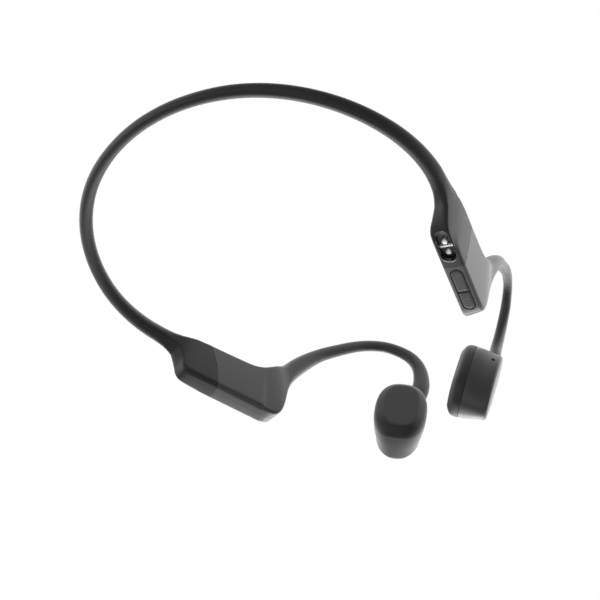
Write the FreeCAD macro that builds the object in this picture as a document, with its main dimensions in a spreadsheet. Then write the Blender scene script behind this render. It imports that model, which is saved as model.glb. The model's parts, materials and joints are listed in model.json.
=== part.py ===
import FreeCAD, Part
import math
import os

# Open-ear bone conduction headphones, in the worn position.
# Millimetres. +X is the wearer's right, +Y is forward, +Z is up.
# x = 0 is the plane of symmetry, z = 0 is the surface that the housings and pods rest on.

os.makedirs("parts", exist_ok=True)
V = FreeCAD.Vector
doc = FreeCAD.newDocument("open_ear_headphones")

# ---------------------------------------------------------------- driving dimensions
sheet = doc.addObject("Spreadsheet::Sheet", "dims")
VALUES = {}
ROW = [0]


def dim(alias, value):
    """One row of the sheet: name, value and alias."""
    if alias not in VALUES:
        ROW[0] += 1
        sheet.set("A%d" % ROW[0], alias)
        sheet.set("B%d" % ROW[0], repr(round(float(value), 5)))
        sheet.setAlias("B%d" % ROW[0], alias)
        VALUES[alias] = round(float(value), 5)
    return VALUES[alias]


def bind(obj, prop, alias, value):
    dim(alias, value)
    setattr(obj, prop, VALUES[alias])
    obj.setExpression(prop, "dims." + alias)


base_y = dim("origin_behind_centre", -71.73)      # rear of the neckband lies this far behind the origin
base_z = dim("band_plane_height", 13.4)          # the neckband's own plane above the resting surface
sleeve_w = dim("sleeve_width", 3.6)              # silicone sleeve across, at the nape
sleeve_h = dim("sleeve_height", 4.1)
wire_d = dim("wire_diameter", 0.9)               # titanium wire
cable_d = dim("cable_diameter", 1.2)             # four-core cable
wire_z = dim("wire_offset", 0.85)
cable_z = dim("cable_offset", -0.75)
wall = dim("shell_wall", 1.1)
house_t = dim("housing_thickness", 6.2)
house_ang = dim("housing_heading", 20.92)        # the housings toe in towards the front by this angle
floor_z = dim("housing_bottom", -13.4)           # below the neckband's plane
top_z = dim("housing_top", 3.8)
edge_r = dim("housing_edge_radius", 1.5)
pod_hw = dim("pod_half_width", 8.2)
pod_hh = dim("pod_half_height", 12.9)
pod_t = dim("pod_thickness", 11.85)
pad_t = dim("pad_depth", 3.5)
split_x = dim("sleeve_split", 14.0)              # the flexing middle of the band runs this far each side


def W(x, y, z):
    """Point given from the band's rear centre, moved to the part's origin."""
    return V(x, y + base_y, z + base_z)


# ---------------------------------------------------------------- housing frames
sin_h, cos_h = math.sin(math.radians(house_ang)), math.cos(math.radians(house_ang))


def hp(side, s, t, z):
    """Housing coordinates: s forward along the housing, t outward from its inner face, z up."""
    return W(side * (50.6 - sin_h * s + cos_h * t), 73.5 + cos_h * s + sin_h * t, z)


def hplace(side, s=0.0, t=0.0, z=0.0):
    """Placement whose local X runs forward along the housing. Outward is -Y on the right, +Y on the left."""
    ang = 90.0 + house_ang if side > 0 else 90.0 - house_ang
    return FreeCAD.Placement(hp(side, s, t, z), FreeCAD.Rotation(V(0, 0, 1), ang))


# ---------------------------------------------------------------- pod frames
# right pod: a = outward normal, u = up the pod, v = u x a
pa = V(0.6852, 0.7213, -0.1009)
pa.normalize()
pu = V(0.0900, 0.0536, 0.9945)
pu = pu - pa * pu.dot(pa)
pu.normalize()
pod_c = (15.57, 136.06, dim("pod_centre_height", -0.45))


def pframe(side):
    a, u = V(side * pa.x, pa.y, pa.z), V(side * pu.x, pu.y, pu.z)
    return u.cross(a), u, a


def pplace(side, v=0.0, u=0.0, a=0.0):
    X, Y, Z = pframe(side)
    c = W(side * pod_c[0], pod_c[1], pod_c[2]) + X * v + Y * u + Z * a
    m = FreeCAD.Matrix(X.x, Y.x, Z.x, c.x, X.y, Y.y, Z.y, c.y, X.z, Y.z, Z.z, c.z, 0, 0, 0, 1)
    return FreeCAD.Placement(m)


# ---------------------------------------------------------------- building blocks
OUT = []


def keep(obj, label):
    obj.Label = label
    OUT.append(obj)
    return obj


def feature(label, shape, placement=None):
    o = doc.addObject("Part::Feature", label)
    o.Shape = shape
    if placement is not None:
        o.Placement = placement
    return keep(o, label)


def box(label, placement, length, width, height, out=True):
    o = doc.addObject("Part::Box", label)
    bind(o, "Length", label + "_length", length)
    bind(o, "Width", label + "_width", width)
    bind(o, "Height", label + "_height", height)
    o.Placement = placement
    return keep(o, label) if out else o


def cylinder(label, placement, radius, height, out=True):
    o = doc.addObject("Part::Cylinder", label)
    bind(o, "Radius", label + "_radius", radius)
    bind(o, "Height", label + "_height", height)
    o.Placement = placement
    return keep(o, label) if out else o


def cut(label, base, tool):
    o = doc.addObject("Part::Cut", label)
    o.Base, o.Tool = base, tool
    return keep(o, label)


def fuse(label, shapes):
    o = doc.addObject("Part::MultiFuse", label)
    o.Shapes = shapes
    return keep(o, label)


def new_body(label, placement):
    b = doc.addObject("PartDesign::Body", label)
    b.Placement = placement
    return keep(b, label)


def plane_of(b, role):
    for f in b.Origin.OriginFeatures:
        if f.Role == role:
            return f


def sketch(b, name, role, geometry, offset=0.0, alias=None):
    s = b.newObject("Sketcher::SketchObject", name)
    s.AttachmentSupport = [(plane_of(b, role), "")]
    s.MapMode = "FlatFace"
    s.AttachmentOffset = FreeCAD.Placement(V(0, 0, offset), FreeCAD.Rotation())
    if alias is not None:
        dim(alias, offset)
        s.setExpression(".AttachmentOffset.Base.z", "dims." + alias)
    for g in geometry:
        s.addGeometry(g, False)
    return s


def pad(b, name, sk, alias, length, reverse=False, mid=False):
    p = b.newObject("PartDesign::Pad", name)
    p.Profile = sk
    bind(p, "Length", alias, length)
    p.Reversed = reverse
    if mid:
        p.SideType = "Symmetric"
    return p


def pocket(b, name, sk, alias, length, reverse=False):
    p = b.newObject("PartDesign::Pocket", name)
    p.Profile = sk
    bind(p, "Length", alias, length)
    p.Reversed = reverse
    return p


def fillet(b, base, name, edges, alias, radius):
    f = b.newObject("PartDesign::Fillet", name)
    f.Base = (base, edges)
    bind(f, "Radius", alias, radius)
    return f


def edges_at(shape, test):
    """Names of the edges whose every sampled point passes the test."""
    names = []
    for i, e in enumerate(shape.Edges):
        pts = e.discretize(7)
        if all(test(p) for p in pts):
            names.append("Edge%d" % (i + 1))
    return names


def rounded(points, radii):
    """Closed outline of straight runs joined by tangent arcs, from (x, y) corners and a radius at each."""
    n = len(points)
    ps = [V(x, y, 0) for x, y in points]
    cuts = []
    for i in range(n):
        p, a, b = ps[i], ps[i - 1], ps[(i + 1) % n]
        d1, d2 = (a - p), (b - p)
        l1, l2 = d1.Length, d2.Length
        d1.normalize()
        d2.normalize()
        half = d1.getAngle(d2) / 2
        r = radii[i]
        if r <= 0:
            cuts.append((p, None, p))
            continue
        k = min(r / math.tan(half), 0.48 * l1, 0.48 * l2)
        r = k * math.tan(half)
        bis = d1 + d2
        bis.normalize()
        mid = p + bis * (r / math.sin(half) - r)
        cuts.append((p + d1 * k, mid, p + d2 * k))
    out = []
    for i in range(n):
        s, m, e = cuts[i]
        if m is not None:
            out.append(Part.Arc(s, m, e))
        nxt = cuts[(i + 1) % n][0]
        if (nxt - e).Length > 1e-6:
            out.append(Part.LineSegment(e, nxt))
    return out


def inset(points, dist):
    """Polygon moved inwards; dist is one distance or one per side, side i running from corner i to i + 1."""
    n = len(points)
    ds = [dist] * n if not isinstance(dist, (list, tuple)) else dist
    area = sum(points[i][0] * points[(i + 1) % n][1] - points[(i + 1) % n][0] * points[i][1] for i in range(n))
    sg = 1.0 if area > 0 else -1.0
    lines = []
    for i in range(n):
        (x0, y0), (x1, y1) = points[i], points[(i + 1) % n]
        L = math.hypot(x1 - x0, y1 - y0)
        nx, ny = -sg * (y1 - y0) / L, sg * (x1 - x0) / L
        lines.append((x0 + nx * ds[i], y0 + ny * ds[i], x1 - x0, y1 - y0))
    out = []
    for i in range(n):
        x1, y1, dx1, dy1 = lines[i - 1]
        x2, y2, dx2, dy2 = lines[i]
        det = dx1 * dy2 - dy1 * dx2
        k = ((x2 - x1) * dy2 - (y2 - y1) * dx2) / det
        out.append((x1 + dx1 * k, y1 + dy1 * k))
    return out


def stadium(cx, cy, length, width):
    """Closed slot outline along local X."""
    r, h = width / 2, length / 2 - width / 2
    a, b, c, d = V(cx - h, cy - r, 0), V(cx + h, cy - r, 0), V(cx + h, cy + r, 0), V(cx - h, cy + r, 0)
    return [
        Part.LineSegment(a, b),
        Part.Arc(b, V(cx + h + r, cy, 0), c),
        Part.LineSegment(c, d),
        Part.Arc(d, V(cx - h - r, cy, 0), a),
    ]


def oval(hw, hh, n=2.35, count=28):
    """Soft rounded outline of a pod: a periodic curve through points of a superellipse."""
    pts = []
    for i in range(count):
        q = 2 * math.pi * i / count
        c, s = math.cos(q), math.sin(q)
        pts.append(V(hw * math.copysign(abs(c) ** (2 / n), c), hh * math.copysign(abs(s) ** (2 / n), s), 0))
    k = Part.BSplineCurve()
    k.interpolate(Points=pts, PeriodicFlag=True)
    return [k]


def ellipse_wire(c, axis1, r1, axis2, r2, n=20, power=2.0):
    """Closed curve in the plane of axis1 and axis2."""
    pts = []
    for i in range(n):
        q = 2 * math.pi * i / n
        cc, ss = math.cos(q), math.sin(q)
        pts.append(c + axis1 * (r1 * math.copysign(abs(cc) ** (2 / power), cc)) + axis2 * (r2 * math.copysign(abs(ss) ** (2 / power), ss)))
    k = Part.BSplineCurve()
    k.interpolate(Points=pts, PeriodicFlag=True)
    return Part.Wire([k.toShape()])


def loft(wires):
    """Closed solid through close-set sections, straight from each to the next, so that it can't swing wide between them."""
    return Part.makeLoft(wires, True, True)


def table(rows, q):
    """Rows of (q, values...) read at q, with straight lines between the rows."""
    if q <= rows[0][0]:
        return rows[0][1:]
    for a, b in zip(rows, rows[1:]):
        if q <= b[0]:
            k = (q - a[0]) / (b[0] - a[0])
            return tuple(x + (y - x) * k for x, y in zip(a[1:], b[1:]))
    return rows[-1][1:]


def tube(path, d):
    """Round solid along a wire of straight runs and tangent arcs."""
    e = path.Edges[0]
    p0 = e.valueAt(e.FirstParameter)
    tdir = e.tangentAt(e.FirstParameter)
    c = Part.Wire([Part.Circle(p0, tdir, d / 2).toShape()])
    sh = path.makePipeShell([c], True, False)
    if sh.Volume < 0:
        sh.reverse()
    return sh


def route(pts, factor=0.45):
    """Wire of straight runs joined by tangent arcs through a list of points."""
    edges, last = [], pts[0]
    for i in range(1, len(pts) - 1):
        p, a, b = pts[i], pts[i - 1], pts[i + 1]
        d1, d2 = a - p, b - p
        l1, l2 = d1.Length, d2.Length
        d1.normalize()
        d2.normalize()
        half = d1.getAngle(d2) / 2
        k = factor * min(l1, l2)
        r = k * math.tan(half)
        bis = d1 + d2
        bis.normalize()
        m = p + bis * (r / math.sin(half) - r)
        s, e = p + d1 * k, p + d2 * k
        edges.append(Part.LineSegment(last, s).toShape())
        edges.append(Part.Arc(s, m, e).toShape())
        last = e
    edges.append(Part.LineSegment(last, pts[-1]).toShape())
    return Part.Wire(edges)


# ---------------------------------------------------------------- neckband line
# Four tangent arcs from the nape to the housing, mirrored for the other side.
ARCS = [
    (dim("nape_radius", 65.926), dim("nape_turn", 0.393)),
    (dim("rear_radius", 55.748), dim("rear_turn", 0.415)),
    (dim("side_radius", 55.654), dim("side_turn", 0.479)),
    (dim("arm_radius", 41.423), dim("arm_turn", 0.650)),
]


def band_at(q):
    """Point and heading at distance q from the nape centre, right side, in the band's plane."""
    x = y = head = 0.0
    for r, turn in ARCS:
        L = r * turn
        k = min(q, L) / r
        cx, cy = x - r * math.sin(head), y + r * math.cos(head)
        x, y = cx + r * math.sin(head + k), cy - r * math.cos(head + k)
        head += k
        q -= L
        if q <= 0:
            return x, y, head
    return x + q * math.cos(head), y + q * math.sin(head), head


band_length = sum(r * a for r, a in ARCS)


def band_wire(side, q0, q1, z):
    """Exact arcs of the band's line between two distances from the nape."""
    edges, start = [], 0.0
    marks = [0.0]
    for r, a in ARCS:
        marks.append(marks[-1] + r * a)
    marks.append(1e9)
    for i in range(len(marks) - 1):
        a, b = max(q0, marks[i]), min(q1, marks[i + 1])
        if b - a < 1e-6:
            continue
        p, m, e = [W(side * band_at(k)[0], band_at(k)[1], z) for k in (a, (a + b) / 2, b)]
        edges.append(Part.LineSegment(p, e).toShape() if i == len(marks) - 2 else Part.Arc(p, m, e).toShape())
    return Part.Wire(edges)


def band_section(side, q, w, h, zc=0.0, tilt=0.0, power=2.2):
    x, y, head = band_at(q)
    out = V(side * math.sin(head), -math.cos(head), 0)
    up = V(0, 0, 1)
    a1 = out * math.cos(tilt) + up * math.sin(tilt)
    a2 = up * math.cos(tilt) - out * math.sin(tilt)
    return ellipse_wire(W(side * x, y, zc), a1, w / 2, a2, h / 2, power=power)


q_split = split_x
q_house = band_length            # the straight stretch into the housing starts here, at s = -7.86
wire_end = q_house + 7.86 + 2.2  # the wire and cable end just inside the housing


# The titanium wire and the cable are moulded into the silicone, so their solids lie inside the sleeve's.
for side, name in ((1, "right"), (-1, "left")):
    rows = (
        (q_split, sleeve_w, sleeve_h, 0.0, 0.0),
        (28.0, 3.75, 4.1, 0.0, 0.25),
        (45.0, 3.95, 4.3, 0.0, 0.45),
        (62.0, 4.0, 4.5, 0.0, 0.5),
        (80.0, 4.1, 4.7, 0.0, 0.5),
        (92.0, 4.3, 4.8, 0.0, 0.4),
        (q_house + 0.2, 4.7, 5.2, 0.1, 0.2),
        (q_house + 2.4, 5.1, 5.9, -0.05, 0.0),
        (q_house + 4.0, 5.5, 7.3, -0.55, 0.0),
        (q_house + 5.2, 5.8, 8.8, -1.2, 0.0),
        (q_house + 6.4, 6.1, 10.6, -1.9, 0.0),
    )
    stations = [q_split + (q_house - q_split) * k / 30.0 for k in range(31)]
    stations += [q_house + k for k in (0.8, 1.6, 2.4, 3.2, 4.0, 4.6, 5.2, 5.8, 6.4)]
    secs = [band_section(side, q, *table(rows, q)) for q in stations]
    sleeve = loft(secs)
    wire = tube(band_wire(side, q_split, wire_end, wire_z), wire_d)
    cable = tube(band_wire(side, q_split, wire_end, cable_z), cable_d)
    feature("neckband_sleeve_" + name, sleeve)
    feature("neckband_wire_" + name, wire)
    feature("neckband_cable_" + name, cable)

# flexing middle of the band
secs = [band_section(-1, q_split * k / 5.0, sleeve_w, sleeve_h) for k in (5, 4, 3, 2, 1)]
secs.append(ellipse_wire(W(0, 0, 0), V(0, -1, 0), sleeve_w / 2, V(0, 0, 1), sleeve_h / 2, power=2.2))
secs += [band_section(1, q_split * k / 5.0, sleeve_w, sleeve_h) for k in (1, 2, 3, 4, 5)]


def middle(z, d):
    p = band_at(q_split)
    arc = Part.Wire([Part.Arc(W(-p[0], p[1], z), W(0, 0, z), W(p[0], p[1], z)).toShape()])
    return tube(arc, d)


centre_wire, centre_cable = middle(wire_z, wire_d), middle(cable_z, cable_d)
feature("neckband_sleeve_center", loft(secs))
feature("neckband_wire_center", centre_wire)
feature("neckband_cable_center", centre_cable)

# ---------------------------------------------------------------- housings
NECK_B, NECK_T = (35.3, 5.2), (31.8, 9.3)  # lower and upper ends of the joint with the ear hook
SEAM = {1: (11.2, 13.1), -1: (7.2, 12.2)}  # top and bottom of the joint between boot and shells


def shell_outline(side):
    top, bottom = SEAM[side]
    pts = [(bottom, floor_z), (33.6, floor_z), (33.6, 1.4), NECK_B, NECK_T, (27.6, top_z + 0.5), (22.0, top_z), (top, top_z)]
    rad = [0, 3.2, 5.0, 0, 0, 6.0, 9.0, 0]
    return pts, rad


def boot_outline(side):
    top, bottom = SEAM[side]
    pts = [(-1.3, -7.4), (-0.5, floor_z), (bottom - 0.02, floor_z), (top - 0.02, top_z), (-1.3, top_z - 0.35)]
    rad = [0, 1.6, 0, 0, 0]
    return pts, rad


def at_y(y0):
    return lambda p: abs(p.y - y0) < 1e-4


for side, name in ((1, "right"), (-1, "left")):
    sg = -side                      # local Y of the outward direction
    half = house_t / 2
    pts, rad = shell_outline(side)
    cav = inset(pts, [wall, wall, wall, wall * 0.9, wall, wall, wall, -0.01])
    cav[0] = (pts[0][0], cav[0][1])
    cav[7] = (pts[7][0], cav[7][1])
    # ---- inner and outer shell, split on the housing's mid plane
    for part, t0, t1 in (("inner", half, 0.0), ("outer", half, house_t)):
        label = "%s_housing_%s_shell" % (name, part)
        b = new_body(label, hplace(side))
        # XZ sketches look along -Y, so a sketch offset of +t lies at y = -t
        off = -sg * half
        sk = sketch(b, label + "_outline", "XZ_Plane", rounded(pts, rad), off, label + "_plane")
        outward = (t1 - t0) * sg    # signed growth along local Y
        p = pad(b, label + "_pad", sk, "shell_half_thickness", half, reverse=outward > 0)
        doc.recompute()
        y_face = sg * t1
        f = fillet(b, p, label + "_fillet", edges_at(p.Shape, lambda q: abs(q.y - y_face) < 1e-4 and not (abs((q.x - pts[0][0]) * (pts[7][1] - pts[0][1]) - (q.z - pts[0][1]) * (pts[7][0] - pts[0][0])) < 0.05)
                                                 and not (abs((q.x - NECK_B[0]) * (NECK_T[1] - NECK_B[1]) - (q.z - NECK_B[1]) * (NECK_T[0] - NECK_B[0])) < 0.05)), "housing_edge_radius", edge_r)
        doc.recompute()
        before = f.Shape.Volume
        sk = sketch(b, label + "_cavity", "XZ_Plane", rounded(cav, [0, 2.2, 3.0, 0, 0, 4.0, 6.0, 0]), off, label + "_plane")
        c = pocket(b, label + "_hollow", sk, "shell_hollow", half - wall, reverse=outward < 0)
        doc.recompute()
        if not c.Shape.Volume < before - 50:
            c.Reversed = not c.Reversed
            doc.recompute()
        print(label, "hollowed", round(before), "->", round(c.Shape.Volume))
        if side > 0:
            before = c.Shape.Volume
            sk = sketch(b, label + "_key_slot", "XY_Plane", stadium(22.1, sg * 2.7, 16.3, 4.4), floor_z - 1, "key_slot_level")
            k = pocket(b, label + "_key_opening", sk, "key_slot_cut", 2.2, reverse=True)
            doc.recompute()
            if not k.Shape.Volume < before - 5:
                k.Reversed = not k.Reversed
                doc.recompute()
            print(label, "slot", round(before), "->", round(k.Shape.Volume))
    # ---- gasket between the two shells: a thin ring just inside the wall
    low = 3.6 if side > 0 else wall + 0.02     # on the right the gasket passes above the volume keys and their board
    g_out = inset(pts, [low] + [wall + 0.02] * 6 + [0.4])
    g_in = inset(pts, [low + 0.58] + [wall + 0.6] * 6 + [1.0])
    label = name + "_housing_seal"
    b = new_body(label, hplace(side, 0, half, 0))
    sk = sketch(b, label + "_outline", "XZ_Plane", rounded(g_out, [0, 2.1, 2.6, 0, 0, 4.0, 6.0, 0]))
    p = pad(b, label + "_pad", sk, "seal_width", 0.9, mid=True)
    doc.recompute()
    before = p.Shape.Volume
    sk = sketch(b, label + "_window", "XZ_Plane", rounded(g_in, [0, 1.5, 2.0, 0, 0, 3.4, 5.4, 0]))
    c = b.newObject("PartDesign::Pocket", label + "_cut")
    c.Profile = sk
    c.SideType = "Symmetric"
    bind(c, "Length", "seal_cut", 4.0)
    doc.recompute()
    print(label, round(before, 1), "->", round(c.Shape.Volume, 1))
    # ---- silicone boot round the rear of the housing
    pts, rad = boot_outline(side)
    label = name + "_boot"
    b = new_body(label, hplace(side, 0, half, 0))
    sk = sketch(b, label + "_outline", "XZ_Plane", rounded(pts, rad))
    p = pad(b, label + "_pad", sk, "housing_thickness", house_t, mid=True)
    doc.recompute()
    e = edges_at(p.Shape, lambda q: abs(abs(q.y) - half) < 1e-4 and q.x > -1.25
                 and not (abs((q.x - pts[2][0]) * (pts[3][1] - pts[2][1]) - (q.z - pts[2][1]) * (pts[3][0] - pts[2][0])) < 0.05)
                 and not q.x < -1.29)
    f = fillet(b, p, label + "_fillet", e, "boot_edge_radius", 1.2)
    doc.recompute()
    before = f.Shape.Volume
    cav = inset(pts, [wall, wall, -0.01, wall, wall])
    cav[2] = (pts[2][0], cav[2][1])
    cav[3] = (pts[3][0], cav[3][1])
    sk = sketch(b, label + "_cavity", "XZ_Plane", rounded(cav, [0, 1.0, 0, 0, 0]))
    c = b.newObject("PartDesign::Pocket", label + "_hollow")
    c.Profile = sk
    c.SideType = "Symmetric"
    bind(c, "Length", "boot_hollow", house_t - 2 * wall)
    doc.recompute()
    print(label, "hollowed", round(before), "->", round(c.Shape.Volume))
    # the wire and the cable come in through the rear wall
    for nm, zz, dd in (("wire", wire_z, wire_d), ("cable", cable_z, cable_d)):
        h = b.newObject("PartDesign::SubtractiveCylinder", "%s_%s_way" % (label, nm))
        h.Placement = FreeCAD.Placement(V(-3, 0, zz), FreeCAD.Rotation(V(0, 1, 0), 90))
        bind(h, "Radius", nm + "_way_radius", dd / 2 + 0.01)
        bind(h, "Height", "way_length", 4.5)
    if side > 0:
        doc.recompute()
        before = b.Shape.Volume
        sk = sketch(b, label + "_port_slot", "XY_Plane", stadium(5.4, 0, 11.2, 5.2), floor_z - 1, "port_slot_level")
        k = pocket(b, label + "_port_opening", sk, "port_slot_cut", 4.6, reverse=True)
        doc.recompute()
        if not k.Shape.Volume < before - 5:
            k.Reversed = not k.Reversed
            doc.recompute()
        print(label, "port", round(before), "->", round(k.Shape.Volume))

# ---------------------------------------------------------------- charging port, right side
half = house_t / 2
b = new_body("charging_port_insert", hplace(1, 0, half, 0))
sk = sketch(b, "port_outline", "XY_Plane", stadium(5.4, 0, 11.14, 5.14), floor_z, "port_face_level")
p = pad(b, "port_pad", sk, "port_insert_depth", 3.2)
doc.recompute()
before = p.Shape.Volume
sk = sketch(b, "port_recess_outline", "XY_Plane", stadium(5.4, 0, 9.9, 3.9), floor_z, "port_face_level")
c = pocket(b, "port_recess", sk, "port_recess_depth", 1.5, reverse=True)
doc.recompute()
if not c.Shape.Volume < before - 5:
    c.Reversed = not c.Reversed
    doc.recompute()
print("port recess", round(before, 1), "->", round(c.Shape.Volume, 1))
for i, s in enumerate((4.0, 8.1)):
    h = b.newObject("PartDesign::SubtractiveCylinder", "contact_hole_%d" % (i + 1))
    h.Placement = FreeCAD.Placement(V(s, 0, floor_z + 1.2), FreeCAD.Rotation())
    bind(h, "Radius", "contact_hole_radius", 1.15)
    bind(h, "Height", "contact_hole_height", 3.0)
doc.recompute()
r = b.newObject("PartDesign::AdditiveBox", "port_divider")
r.Placement = FreeCAD.Placement(V(5.7, -1.9, floor_z + 0.55), FreeCAD.Rotation())
bind(r, "Length", "port_divider_length", 0.7)
bind(r, "Width", "port_divider_width", 3.8)
bind(r, "Height", "port_divider_height", 1.2)

pins = [cylinder("charging_contact_%d" % (i + 1), hplace(1, s, half, floor_z + 1.0), 1.12, 2.4, out=False) for i, s in enumerate((4.0, 8.1))]
fuse("charging_contacts", pins)
mags = [box("charging_magnet_%d" % (i + 1), hplace(1, s, half + 1.5, floor_z + 3.5), 1.4, 3.0, 1.2, out=False) for i, s in enumerate((0.5, 9.0))]
fuse("charging_magnets", mags)

# ---------------------------------------------------------------- volume keys, right side
b = new_body("key_bezel", hplace(1, 0, 2.7, 0))
sk = sketch(b, "bezel_outline", "XY_Plane", stadium(22.1, 0, 16.24, 4.34), floor_z, "port_face_level")
p = pad(b, "bezel_pad", sk, "bezel_depth", 1.1)
doc.recompute()
before = p.Shape.Volume
sk = sketch(b, "bezel_window", "XY_Plane", stadium(22.1, 0, 15.2, 3.3), floor_z, "port_face_level")
c = pocket(b, "bezel_opening", sk, "bezel_cut", 1.5, reverse=True)
doc.recompute()
if not c.Shape.Volume < before - 5:
    c.Reversed = not c.Reversed
    doc.recompute()
print("bezel", round(before, 1), "->", round(c.Shape.Volume, 1))


def key(label, s0, s1, round_rear):
    """Half of a stadium: round at one end, square at the other."""
    b = new_body(label, hplace(1, 0, 2.7, 0))
    r = 1.5
    if round_rear:
        g = [Part.LineSegment(V(s0 + r, -r, 0), V(s1, -r, 0)), Part.LineSegment(V(s1, -r, 0), V(s1, r, 0)),
             Part.LineSegment(V(s1, r, 0), V(s0 + r, r, 0)), Part.Arc(V(s0 + r, r, 0), V(s0, 0, 0), V(s0 + r, -r, 0))]
    else:
        g = [Part.LineSegment(V(s0, -r, 0), V(s1 - r, -r, 0)), Part.Arc(V(s1 - r, -r, 0), V(s1, 0, 0), V(s1 - r, r, 0)),
             Part.LineSegment(V(s1 - r, r, 0), V(s0, r, 0)), Part.LineSegment(V(s0, r, 0), V(s0, -r, 0))]
    sk = sketch(b, label + "_outline", "XY_Plane", g, floor_z + 0.1, "key_face_level")
    p = pad(b, label + "_pad", sk, "key_height", 1.5)
    doc.recompute()
    fillet(b, p, label + "_edge", edges_at(p.Shape, lambda q: abs(q.z - (floor_z + 0.1)) < 1e-4), "key_edge_radius", 0.35)


key("volume_up_key", 14.65, 22.82, True)
key("volume_down_key", 23.18, 29.55, False)
sw = [box("tact_switch_%d" % (i + 1), hplace(1, s - 1.3, 2.7 + 1.3, floor_z + 2.05), 2.6, 2.6, 0.95, out=False) for i, s in enumerate((18.3, 26.2))]
fuse("key_switches", sw)
box("key_board", hplace(1, 14.9, 2.7 + 1.55, floor_z + 3.05), 14.6, 3.1, 0.4)

# ---------------------------------------------------------------- electronics
box("main_board", hplace(1, 14.8, 3.5, -8.4), 16.4, 0.8, 10.0)
box("bluetooth_module", hplace(1, 16.0, 4.75, -5.6), 8.6, 1.2, 6.4)
box("audio_amplifier_chip", hplace(1, 25.6, 4.35, -4.6), 3.6, 0.8, 3.6)
box("antenna_block", hplace(1, 16.0, 2.6, -2.6), 9.0, 1.2, 3.4)
box("battery_cell", hplace(-1, 14.0, 1.35, -11.3), 17.0, 3.4, 11.1)
box("battery_protection_board", hplace(-1, 15.0, 2.2, 0.25), 9.0, 2.0, 0.8)

# ---------------------------------------------------------------- pods
for side, name in ((1, "right"), (-1, "left")):
    lo = -pod_t / 2
    # ---- outer shell: a cup, open towards the pad
    label = name + "_pod_shell"
    b = new_body(label, pplace(side))
    sk = sketch(b, label + "_outline", "XY_Plane", oval(pod_hw * 0.955, pod_hh * 0.955), lo + pad_t + 0.02, "pod_split_level")
    p = pad(b, label + "_pad", sk, "pod_shell_height", pod_t - pad_t - 0.02)
    doc.recompute()
    f = fillet(b, p, label + "_fillet", edges_at(p.Shape, lambda q: abs(q.z - pod_t / 2) < 1e-4), "pod_edge_radius", 2.4)
    doc.recompute()
    before = f.Shape.Volume
    sk = sketch(b, label + "_cavity", "XY_Plane", oval(pod_hw * 0.955 - wall, pod_hh * 0.955 - wall), lo + pad_t, "pod_cavity_level")
    c = pocket(b, label + "_hollow", sk, "pod_hollow", pod_t - pad_t - wall - 0.9, reverse=True)
    doc.recompute()
    if not c.Shape.Volume < before - 100:
        c.Reversed = not c.Reversed
        doc.recompute()
    print(label, "hollowed", round(before), "->", round(c.Shape.Volume))
    if side < 0:
        before = c.Shape.Volume
        sk = sketch(b, label + "_button_slot", "XY_Plane", stadium(0, 0, 9.6, 5.0), pod_t / 2 + 1, "button_slot_level")
        k = pocket(b, label + "_button_opening", sk, "button_slot_cut", 3.4)
        doc.recompute()
        if not k.Shape.Volume < before - 5:
            k.Reversed = not k.Reversed
            doc.recompute()
        print(label, "button", round(before), "->", round(k.Shape.Volume))
    else:
        h = b.newObject("PartDesign::SubtractiveCylinder", label + "_microphone_hole")
        h.Placement = FreeCAD.Placement(V(2.6, 13.0, 2.6), FreeCAD.Rotation(V(1, 0, 0), 90))
        bind(h, "Radius", "microphone_hole_radius", 0.55)
        bind(h, "Height", "microphone_hole_length", 4.0)
    # ---- silicone contact pad: a shallow cup that faces the cheek
    label = name + "_contact_pad"
    b = new_body(label, pplace(side))
    sk = sketch(b, label + "_outline", "XY_Plane", oval(pod_hw, pod_hh), lo, "pad_face_level")
    p = pad(b, label + "_pad", sk, "pad_depth", pad_t)
    doc.recompute()
    f = fillet(b, p, label + "_fillet", edges_at(p.Shape, lambda q: abs(q.z - lo) < 1e-4), "pad_edge_radius", 1.9)
    doc.recompute()
    before = f.Shape.Volume
    sk = sketch(b, label + "_cavity", "XY_Plane", oval(pod_hw - 1.5, pod_hh - 1.5), lo + pad_t, "pad_back_level")
    c = pocket(b, label + "_hollow", sk, "pad_hollow", pad_t - 1.0)
    doc.recompute()
    if not c.Shape.Volume < before - 50:
        c.Reversed = not c.Reversed
        doc.recompute()
    print(label, "hollowed", round(before), "->", round(c.Shape.Volume))
    # ---- transducer stack
    label = name + "_vibration_plate"
    b = new_body(label, pplace(side))
    sk = sketch(b, label + "_outline", "XY_Plane", oval(pod_hw - 1.75, pod_hh - 1.75), lo + 1.04, "plate_level")
    pad(b, label + "_pad", sk, "plate_thickness", 0.9)
    label = name + "_leaf_spring"
    b = new_body(label, pplace(side))
    sk = sketch(b, label + "_outline", "XY_Plane", oval(6.3, 9.4), lo + 2.0, "spring_level")
    pad(b, label + "_pad", sk, "spring_thickness", 0.3)
    doc.recompute()
    sk = sketch(b, label + "_slots", "XY_Plane", stadium(0, 5.6, 7.0, 1.4) + stadium(0, -5.6, 7.0, 1.4), lo + 1.8, "spring_slot_level")
    k = pocket(b, label + "_slotted", sk, "spring_slot_cut", 1.0, reverse=True)
    doc.recompute()
    coil_o = cylinder(name + "_coil_outer", pplace(side, a=lo + 2.34), 5.0, 2.6, out=False)
    coil_i = cylinder(name + "_coil_inner", pplace(side, a=lo + 2.2), 4.35, 3.0, out=False)
    cut(name + "_voice_coil", coil_o, coil_i)
    cylinder(name + "_transducer_magnet", pplace(side, a=lo + 3.1), 3.9, 3.6)
    yoke_o = cylinder(name + "_yoke_outer", pplace(side, a=lo + 3.1), 6.2, 4.6, out=False)
    yoke_i = cylinder(name + "_yoke_inner", pplace(side, a=lo + 3.0), 5.4, 3.72, out=False)
    cut(name + "_transducer_yoke", yoke_o, yoke_i)

box("right_microphone", pplace(1, 2.6 - 1.4, 7.9, lo + 5.1), 2.8, 1.6, 4.2)

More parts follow.
